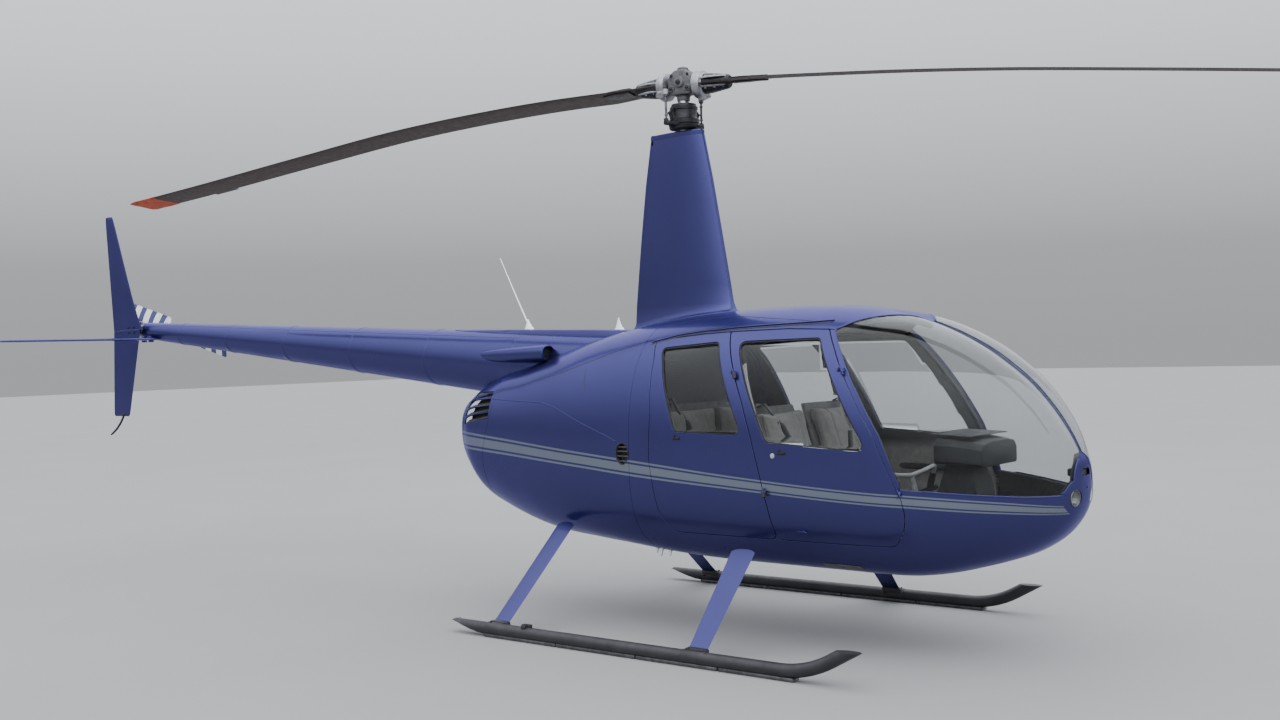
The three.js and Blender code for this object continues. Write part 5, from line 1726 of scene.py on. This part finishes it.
def soft_pad(name, outline, low, high, held, way, channels):
    """A cushion blown up with the cloth simulation from a pushed-through outline, with grooves along its sewn channels.
    The side at held, which looks against way, stays where it is. The left cushion is the right one's mirror image."""
    k = Kit().prism([tuple(p) for p in inset(rounded(outline, 26, 4), PAD_SHY)], low + PAD_SHY, high - PAD_SHY, "y",
        16, segments=3)
    mesh = bpy.data.meshes.new(f"{name}_right")
    mesh.from_pydata([tuple(v) for v in world(np.vstack(k.v))], [], k.f)
    mesh.validate()
    obj = linked(f"{name}_right", mesh)
    for o in bpy.context.selected_objects:
        o.select_set(False)
    bpy.context.view_layer.objects.active = obj
    obj.select_set(True)
    r = obj.modifiers.new("even", "REMESH")
    r.mode, r.voxel_size, r.use_smooth_shade = "VOXEL", 0.01, True
    bpy.ops.object.modifier_apply(modifier=r.name)
    start = read(obj.data)
    group = obj.vertex_groups.new(name="rest")
    fixed = np.flatnonzero((start - world(held)[0]) @ np.array(way) < 0.012)
    group.add([int(i) for i in fixed], 1.0, "REPLACE")
    c = obj.modifiers.new("cloth", "CLOTH")
    s = c.settings
    s.quality, s.mass, s.use_pressure, s.uniform_pressure_force = 5, 0.3, True, 4.0
    s.tension_stiffness = s.compression_stiffness = s.shear_stiffness = 14
    s.bending_stiffness = 0.6
    s.vertex_group_mass = "rest"
    s.effector_weights.gravity = 0
    c.collision_settings.use_collision = False
    c.point_cache.frame_start, c.point_cache.frame_end = 1, PAD_FRAMES
    for f in range(1, PAD_FRAMES + 1):
        bpy.context.scene.frame_set(f)
    move = read(obj.evaluated_get(bpy.context.evaluated_depsgraph_get()).data) - start
    move *= np.minimum(1, PAD_CAP / np.maximum(length(move), 1e-9))
    obj.modifiers.remove(c)
    bpy.context.scene.frame_set(1)
    obj.data.vertices.foreach_set("co", (start + move).ravel())
    sub = obj.modifiers.new("fine", "SUBSURF")
    sub.levels = sub.render_levels = 1
    bpy.ops.object.modifier_apply(modifier=sub.name)
    co, nor = read(obj.data), read(obj.data, "normal")
    for where, along, depth in channels:
        d = np.abs((co - world(where)[0]) @ np.array(along, float))
        co = co - nor * (depth / 1000 * np.exp(-(d / SEAM_WIDTH)**2))[:, None]
    obj.data.vertices.foreach_set("co", co.ravel())
    obj.data.update()
    obj.data.materials.append(SEAT)
    obj.data.polygons.foreach_set("use_smooth", [True] * len(obj.data.polygons))
    finish_pad(obj)
    mesh = obj.data.copy()
    co[:, 1] = 2 * SHIFT[1] - co[:, 1]
    mesh.vertices.foreach_set("co", co.ravel())
    mesh.flip_normals()
    finish_pad(linked(f"{name}_left", mesh))
    return obj


def wrap(obj, points, centres, lift):
    """Points pulled in, each towards its centre, until they lie on the piece, and the normals there."""
    tree = BVHTree.FromPolygons([v.co for v in obj.data.vertices], [list(p.vertices) for p in obj.data.polygons])
    out, norms = [], []
    for p, c in zip(world(points), world(centres)):
        d = Vector(c - p)
        hit, n, _, _ = tree.ray_cast(Vector(p), d.normalized())
        if hit is None:
            continue
        if n.dot(d) > 0:
            n = -n
        out.append((np.array(hit + n * lift / 1000) - SHIFT) * 1000)
        norms.append(np.array(n))
    return np.array(out), np.array(norms)


def smooth_row(p, times=2, closed=False):
    p = np.array(p)
    for _ in range(times):
        q = (np.roll(p, 1, 0) + 2 * p + np.roll(p, -1, 0)) / 4
        if not closed:
            q[0], q[-1] = p[0], p[-1]
        p = q
    return p


def ribbon(kit, path, normals, width=46, thick=1.8):
    p, n = np.asarray(path, float), np.asarray(normals, float)
    t = np.gradient(p, axis=0)
    t /= length(t)
    n = n - (n * t).sum(1, keepdims=True) * t
    n /= length(n)
    s = np.cross(t, n) * width
    shape = ((0.5, 0), (0.46, thick), (-0.46, thick), (-0.5, 0), (-0.46, -0.3), (0.46, -0.3))
    kit.loft(np.stack([p + s * w + n * h for w, h in shape], 1))


pads = {}
for name, outline, low, high, held, way, channels in (
        ("front_seat_cushion", [(905, 664), (1322, 668), (1326, 758), (905, 752)], -494, -46, (900, 0, 664), Z,
        [(1010, X, 7), (1215, X, 7)]),
        ("front_seat_back", [(932, 748), (1000, 748), (826, 1282), (760, 1282)], -492, -48, (900, 0, 748),
        (0.955, 0, 0.295), [(-178, Y, 6), (-362, Y, 6)]),
        ("rear_seat_cushion", [(262, 664), (690, 668), (696, 758), (262, 752)], -516, -4, (0, 0, 664), Z,
        [(375, X, 7), (585, X, 7)]),
        ("rear_seat_back", [(176, 748), (262, 748), (196, 1292), (118, 1292)], -512, -6, (140, 0, 748),
        (0.99, 0, 0.12), [(-160, Y, 6), (-350, Y, 6)])):
    channels = [(np.array(along) * at, along, depth) for at, along, depth in channels]
    pads[name] = soft_pad(name, outline, low, high, held, way, channels)


def pipe(kit, obj, loop, centres):
    """Piping where the loop, pulled in towards the centres, meets the pad."""
    q = smooth_row(wrap(obj, loop, centres, 0.8)[0], 3, True)
    kit.tube(np.vstack([q, q[:1]]), 2.6, 8)


def box_loop(x0, x1, y0, y1):
    """A rounded loop 30 mm outside a box, and its middle."""
    loop = rounded([(x0 - 30, y0 - 30), (x1 + 30, y0 - 30), (x1 + 30, y1 + 30), (x0 - 30, y1 + 30)], 40)
    return densify(np.array(loop), 16), np.array(((x0 + x1) / 2, (y0 + y1) / 2))


k = Kit()
for name, x0, x1, y0, y1 in (("front_seat_cushion", 905, 1325, -494, -46), ("rear_seat_cushion", 262, 692, -516, -4)):
    loop, mid = box_loop(x0, x1, y0, y1)
    for z, inner in ((784, 700), (646, 716)):
        centres = mid + (loop - mid) * 0.72
        pipe(k, pads[name], np.insert(loop, 2, z, 1), np.insert(centres, 2, inner, 1))


def lean(points, foot, up, off):
    """Rows of (distance up the back, y) as places off the back's front face."""
    side = foot + points[:, :1] * up + off * np.array((up[1], -up[0]))
    return np.insert(side, 1, points[:, 1], 1)


FRONT_FACE = {"front": ((1000, 748), (826, 1282)), "rear": ((262, 748), (196, 1292))}
for place, y0, y1 in (("front", -492, -48), ("rear", -512, -6)):
    foot, head = np.array(FRONT_FACE[place], float)
    loop, mid = box_loop(0, np.linalg.norm(head - foot), y0, y1)
    up = unit(head - foot)
    pipe(k, pads[f"{place}_seat_back"], lean(loop, foot, up, 26), lean(mid + (loop - mid) * 0.74, foot, up, -40))
fitted("seat_piping", k, SEAT_SIDE, angle=80)


# Seat boxes under the cushions and the shells behind the front backs.
def seat_box(kit, rows, y_in, y_out):
    """A box with rounded corners that narrows with the cabin wall: rows of (z, front x, rear x)."""
    sec = []
    for z, rear, front in rows:
        out = min(y_out, inner_half((rear + front) / 2, z))
        sec.append([(x, -y, z) for x, y in rounded([(rear, y_in), (front, y_in), (front, out), (rear, out)], 16, 3)])
    return kit.loft(sec)


k = Kit()
seat_box(k, [(500, 892, 1300), (530, 890, 1312), (560, 888, 1322), (610, 886, 1328), (648, 885, 1330),
    (656, 888, 1327), (660, 894, 1320)], 44, 496)
k.prism([(884, 640), (930, 744), (750, 1292), (730, 1288), (896, 744), (870, 655)], -488, -52, "y", 8)
fitted("front_seat_box", k, SEAT_SIDE, replaces=["front_seat_{side}"])
k = Kit()
seat_box(k, [(500, 246, 660), (530, 244, 676), (560, 242, 688), (610, 241, 694), (648, 240, 696), (656, 243, 693),
    (660, 249, 686)], 0.4, 518)
k.prism([(112, 660), (250, 660), (172, 760), (114, 1298), (110, 1298)], -500, -0.4, "y", 6)
fitted("rear_seat_box", k, SEAT_SIDE, replaces=["rear_seat"])
k = Kit().block((960, -500, 535), (1240, -494, 635), 4)
k.lathe((1100, -500, 611), (0, -1, 0), [(0, 9), (3, 9), (5, 6)], 16)
fitted("seat_box_door", k, SEAT_SIDE)

# ---- belts ----
for place, seat_y, lap_x, (hx, hz) in (("front", -270, 1000, (742, 1300)), ("rear", -260, 300, (112, 1330))):
    (xa, za), (xb, zb) = FRONT_FACE[place]
    # Shoulder strap, from above the back's outer corner across to the buckle at the inner hip.
    y0 = seat_y - 130
    t = np.linspace(0.03, 1, 26)
    x, y, z = xb + (xa - xb) * t, y0 + 280 * t**1.15, zb + (za - zb) * t
    p, n = wrap(pads[f"{place}_seat_back"], np.stack([x + 130, y, z + 20], 1), np.stack([x - 60, y, z], 1), 2.0)
    top = [(hx, y0, hz - 26), (hx + 10, y0, hz - 4), ((hx + p[0][0]) / 2, y0, max(p[0][2], hz) + 8)]
    k = Kit()
    ribbon(k, np.vstack([top, smooth_row(p, 3)]),
        smooth_row(np.vstack([[(-1, 0, 0.2), (-0.6, 0, 0.8), (0.1, 0, 1)], n])))
    # Lap strap, with its buckle.
    t = np.linspace(0, 1, 24)
    lap = np.stack([lap_x + 70 + 60 * np.sin(math.pi * t), seat_y - 205 + 410 * t], 1)
    p, n = wrap(pads[f"{place}_seat_cushion"], np.insert(lap, 2, 900, 1), np.insert(lap, 2, 640, 1), 2.0)
    p = smooth_row(p, 3)
    path = np.vstack([[p[0] + (-30, -16, -64)], p, [p[-1] + (-30, 16, -64)]])
    ribbon(k, path, np.vstack([[(0, -1, 0.3)], n, [(0, 1, 0.3)]]))
    b = p[-5]
    k.block(b + (-32, -22, 1), b + (32, 30, 15), 4, 1)
    k.block(b + (-14, -12, 14), b + (14, 14, 17), 2, 2)
    k.block(b + (-27, -44, 1), b + (27, -20, 6), 2, 1)
    k.block((hx - 22, y0 - 32, hz - 66), (hx + 10, y0 + 32, hz - 20), 6, 2)
    fitted(f"{place}_seat_belt", k, [BELT, STEEL, RUBBER], angle=50)

# ---- instrument console and controls ----
k = Kit()
k.prism([(1650, 500), (1860, 500), (1900, 700), (1868, 900), (1820, 1000), (1712, 1000), (1640, 800), (1622, 620)],
    -108, 108, "y", 9)
panel_face = [(-226, 996), (-240, 1010), (-240, 1092), (-210, 1126), (-120, 1137), (120, 1137), (210, 1126),
    (240, 1092), (240, 1010), (226, 996)]
sec = []
for x, sx, dz in ((1704, 0.975, 0), (1706, 0.99, 0), (1711, 1.0, 0), (1800, 0.99, -3), (1890, 0.95, -12),
        (1950, 0.90, -20), (1958, 0.885, -21), (1961, 0.86, -22)):
    p = rounded(panel_face, 9, 3)
    sec.append([(x, y * sx, 1060 + (z - 1060) * sx + dz) for y, z in p])
k.loft(sec)
# The glare shield's thin plate hangs over the dials.
shear = Matrix(((1, 0, 0, 0), (0, 1, 0, 0), (-0.045, 0, 1, 1143 + 0.045 * 1786), (0, 0, 0, 1)))
k.block((1668, -218, -2.5), (1905, 218, 2.5), 2, matrix=shear)
for z in (648, 716, 784):
    k.block((1625, -84, z - 26), (1650 + (z - 648) * 0.1, 84, z + 26), 5)
k.done("instrument_console_shell", PLASTIC, replaces="instrument_console", angle=40)
rim, face, mark = Kit(), Kit(), Kit()
dials = [(-176, 1066, 34), (-98, 1082, 38), (-10, 1084, 38), (78, 1082, 38), (160, 1066, 34), (-140, 1012, 20),
    (-60, 1020, 26), (20, 1020, 26), (96, 1018, 24)]
for y, z, r in dials:
    rim.lathe((1705, y, z), (-1, 0, 0), [(0, r + 4), (4, r + 4), (6, r + 1), (5, r - 2), (1.2, r - 3), (1, 3)], 32)
    face.lathe((1702.6, y, z), (-1, 0, 0), [(0, r - 3), (0.4, r - 3), (0.5, 1)], 28)
    for j in range(10):
        a = math.radians(-130 + j * 29)
        c, s = math.sin(a), math.cos(a)
        mark.tube([(1701.6, y - c * (r - 9), z + s * (r - 9)), (1701.6, y - c * (r - 4.5), z + s * (r - 4.5))], 0.7, 5)
    a = math.radians(-110 + (y * 7 + z * 3) % 200)
    mark.tube([(1701.2, y, z), (1701.2, y - math.sin(a) * (r - 10), z + math.cos(a) * (r - 10))], [1.2, 0.5], 6)
for i in range(7):
    rim.block((1618, -72 + i * 24 - 5, 590), (1628, -72 + i * 24 + 5, 606), 2)
for z in (648, 716, 784):
    face.block((1622.5, -60, z - 12), (1626, 40, z + 12), 2)
    for y in (-72, 56, 72):
        rim.lathe((1626, y, z), (-1, 0, 0), [(0, 7), (10, 6.4), (11, 5)], 16)
rim.done("instrument_bezels", DARK)
face.done("instrument_faces", DIAL)
mark.done("instrument_marks", WHITE)
k = Kit()
k.lathe((1500, 0, 498), Z, [(0, 62), (10, 58), (26, 40), (44, 34), (60, 26), (62, 20)], 28, 1)
k.tube([(1500, 0, 540), (1492, 0, 680), (1476, 0, 820), (1450, 0, 905)], [17, 16, 15, 15], 16)
k.tube([(1448, -286, 934), (1446, -270, 938), (1448, -120, 918), (1450, 0, 906), (1448, 120, 918), (1446, 270, 938),
    (1448, 286, 934)], [10, 11, 12, 14, 12, 11, 10], 16)
for s in (-1, 1):
    k.tube([(1447, s * 280, 936), (1442, s * 292, 920), (1430, s * 294, 890)], [10, 10, 11], 14)
    k.tube([(1432, s * 294, 896), (1422, s * 294, 860), (1408, s * 294, 800), (1400, s * 294, 772)], [15, 17, 16, 17],
        16, 1, 1.2)
    k.block((1424, s * 294 - 8, 892), (1442, s * 294 + 8, 908), 3, 1)
k.done("cyclic_stick", [WHITE_WORN, RUBBER])
k = Kit()
PEDAL_TURN = Matrix.Rotation(math.radians(68), 4, "Y") @ Matrix.Rotation(math.radians(90), 4, "Z")
for y in (-330, -170, 170, 330):
    k.tube([(1790, y, 505), (1800, y, 560), (1828, y, 622), (1846, y, 648)], 9, 12)
    k.tube([(1846, y - 44, 650), (1846, y, 650), (1846, y + 44, 650)], 9, 12)
    k.prism([(-46, -34), (46, -34), (50, 30), (-50, 30)], -3, 3, "y", 3, 1,
        Matrix.Translation((1834, y, 655)) @ PEDAL_TURN)
k.done("foot_pedals", [STEEL, RUBBER])
k = Kit()
for y in (-18, 512):
    k.tube([(960, y, 640), (1080, y, 690), (1210, y, 742), (1250, y, 758)], [11, 11, 11, 10], 14)
    k.tube([(1180, y, 730), (1260, y, 762), (1330, y, 790), (1344, y, 796)], [16, 17, 16, 13], 16, 1)
k.done("collective_levers", [WHITE_WORN, RUBBER])
# The rotor brake handle overhead.
k = Kit()
k.block((1080, -26, 1780), (1180, 26, 1798), 5)
k.tube([(1120, 14, 1784), (1180, 14, 1762), (1250, 14, 1740)], [6, 6, 9], 12)
k.done("rotor_brake_handle", RUBBER)

# ---- camera, floor and light ----
cam = linked("camera", bpy.data.cameras.new("camera"))
cam.data.lens, cam.data.sensor_width, cam.data.clip_end = 39.68, 36, 200
ahead, right = Vector((-0.622, 0.783, -0.010)).normalized(), Vector((0.783, 0.621, -0.027))
up = right.cross(ahead).normalized()
right = ahead.cross(up).normalized()
place = Matrix.Translation(world((5031.62, -6821.22, 1642.13))[0])
cam.matrix_world = place @ Matrix((right, up, -ahead)).transposed().to_4x4()
bpy.context.scene.camera = cam

mesh = bpy.data.meshes.new("floor")
mesh.from_pydata([(-60, -60, 0), (60, -60, 0), (60, 60, 0), (-60, 60, 0)], [], [(0, 1, 2, 3)])
pale = material("pale_floor", (0.235, 0.235, 0.235), 0.95)
n = Nodes(pale)
n.color(n.mix(n.patches(0.7, 3), (0.23, 0.23, 0.23), (0.24, 0.24, 0.238)))
mesh.materials.append(pale)
linked("floor", mesh)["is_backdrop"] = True

sky = bpy.data.worlds.new("studio")
bpy.context.scene.world = sky
sky.use_nodes = True
tree = sky.node_tree
back = tree.nodes["Background"]
coord, sep, ramp, turn, side, scale = (tree.nodes.new(f"ShaderNode{kind}") for kind in (
    "TexCoord", "SeparateXYZ", "ValToRGB", "VectorMath", "MapRange", "VectorMath"))
# The sky is brighter on the side that the nose and the right side face.
turn.operation = "DOT_PRODUCT"
turn.inputs[1].default_value = (0.80, -0.60, 0.0)
side.interpolation_type = "SMOOTHSTEP"
for i, v in enumerate((-0.3, 0.95, 0.85, 1.45)):
    side.inputs[i + 1].default_value = v
scale.operation = "SCALE"
for a, b in ((coord.outputs["Generated"], sep.inputs[0]), (sep.outputs[2], ramp.inputs[0]),
        (coord.outputs["Generated"], turn.inputs[0]),
             (turn.outputs["Value"], side.inputs[0]), (ramp.outputs[0], scale.inputs[0]),
             (side.outputs[0], scale.inputs["Scale"]),
             (scale.outputs[0], back.inputs[0])):
    tree.links.new(a, b)
tones = ramp.color_ramp.elements
tones[0].position, tones[0].color = 0.0, (0.145, 0.148, 0.155, 1)
tones[1].position, tones[1].color = 1.0, (0.95, 0.98, 1.0, 1)
for place, tone in ((0.06, (0.16, 0.163, 0.17, 1)), (0.2, (0.34, 0.35, 0.375, 1)), (0.5, (0.60, 0.62, 0.68, 1)),
        (0.8, (0.90, 0.94, 0.99, 1))):
    tones.new(place).color = tone
back.inputs[1].default_value = 3.3
for name, place, size, power, tint in (("key", (9, -6, 9), 7, 350, (1, 0.98, 0.95)),
        ("fill", (-7, -9, 6), 8, 200, (0.93, 0.96, 1)),
                                        ("rim", (-4, 9, 8), 7, 250, (1, 1, 1))):
    lamp = bpy.data.lights.new(name, "AREA")
    lamp.shape, lamp.size, lamp.energy, lamp.color = "DISK", size, power, tint
    obj = linked(name, lamp)
    obj.location = place
    obj.rotation_euler = (Vector((0, 0, 1)) - Vector(place)).to_track_quat("-Z", "Y").to_euler()
    obj.visible_glossy = obj.visible_transmission = False

# ---- carried-over CAD nodes ----
LOOKS = {
    "seat": SEAT, "window": GLASS, "windscreen": GLASS, "antenna": WHITE, "tail_blade": WHITE, "hub": BARE,
    "cuff": BARE, "engine_block": CAST, "rotor_mast": STEEL, "swashplate": DARK, "skid": SKID, "main_blade": BLADE,
    "gearbox": DARK, "bracket": DARK, "fan_housing": DARK, "console": PLASTIC, "centre_post": RUBBER,
    "bulkhead": HEADLINER, "engine_cowl": HULL_PAINT, "floor_and_nose": HULL_PAINT}
for name, obj in frame["nodes"].items():
    look = next((m for k, m in LOOKS.items() if k in name), PAINT)
    for s in obj.material_slots:
        s.link = "OBJECT"
        s.material = look

low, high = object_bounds()
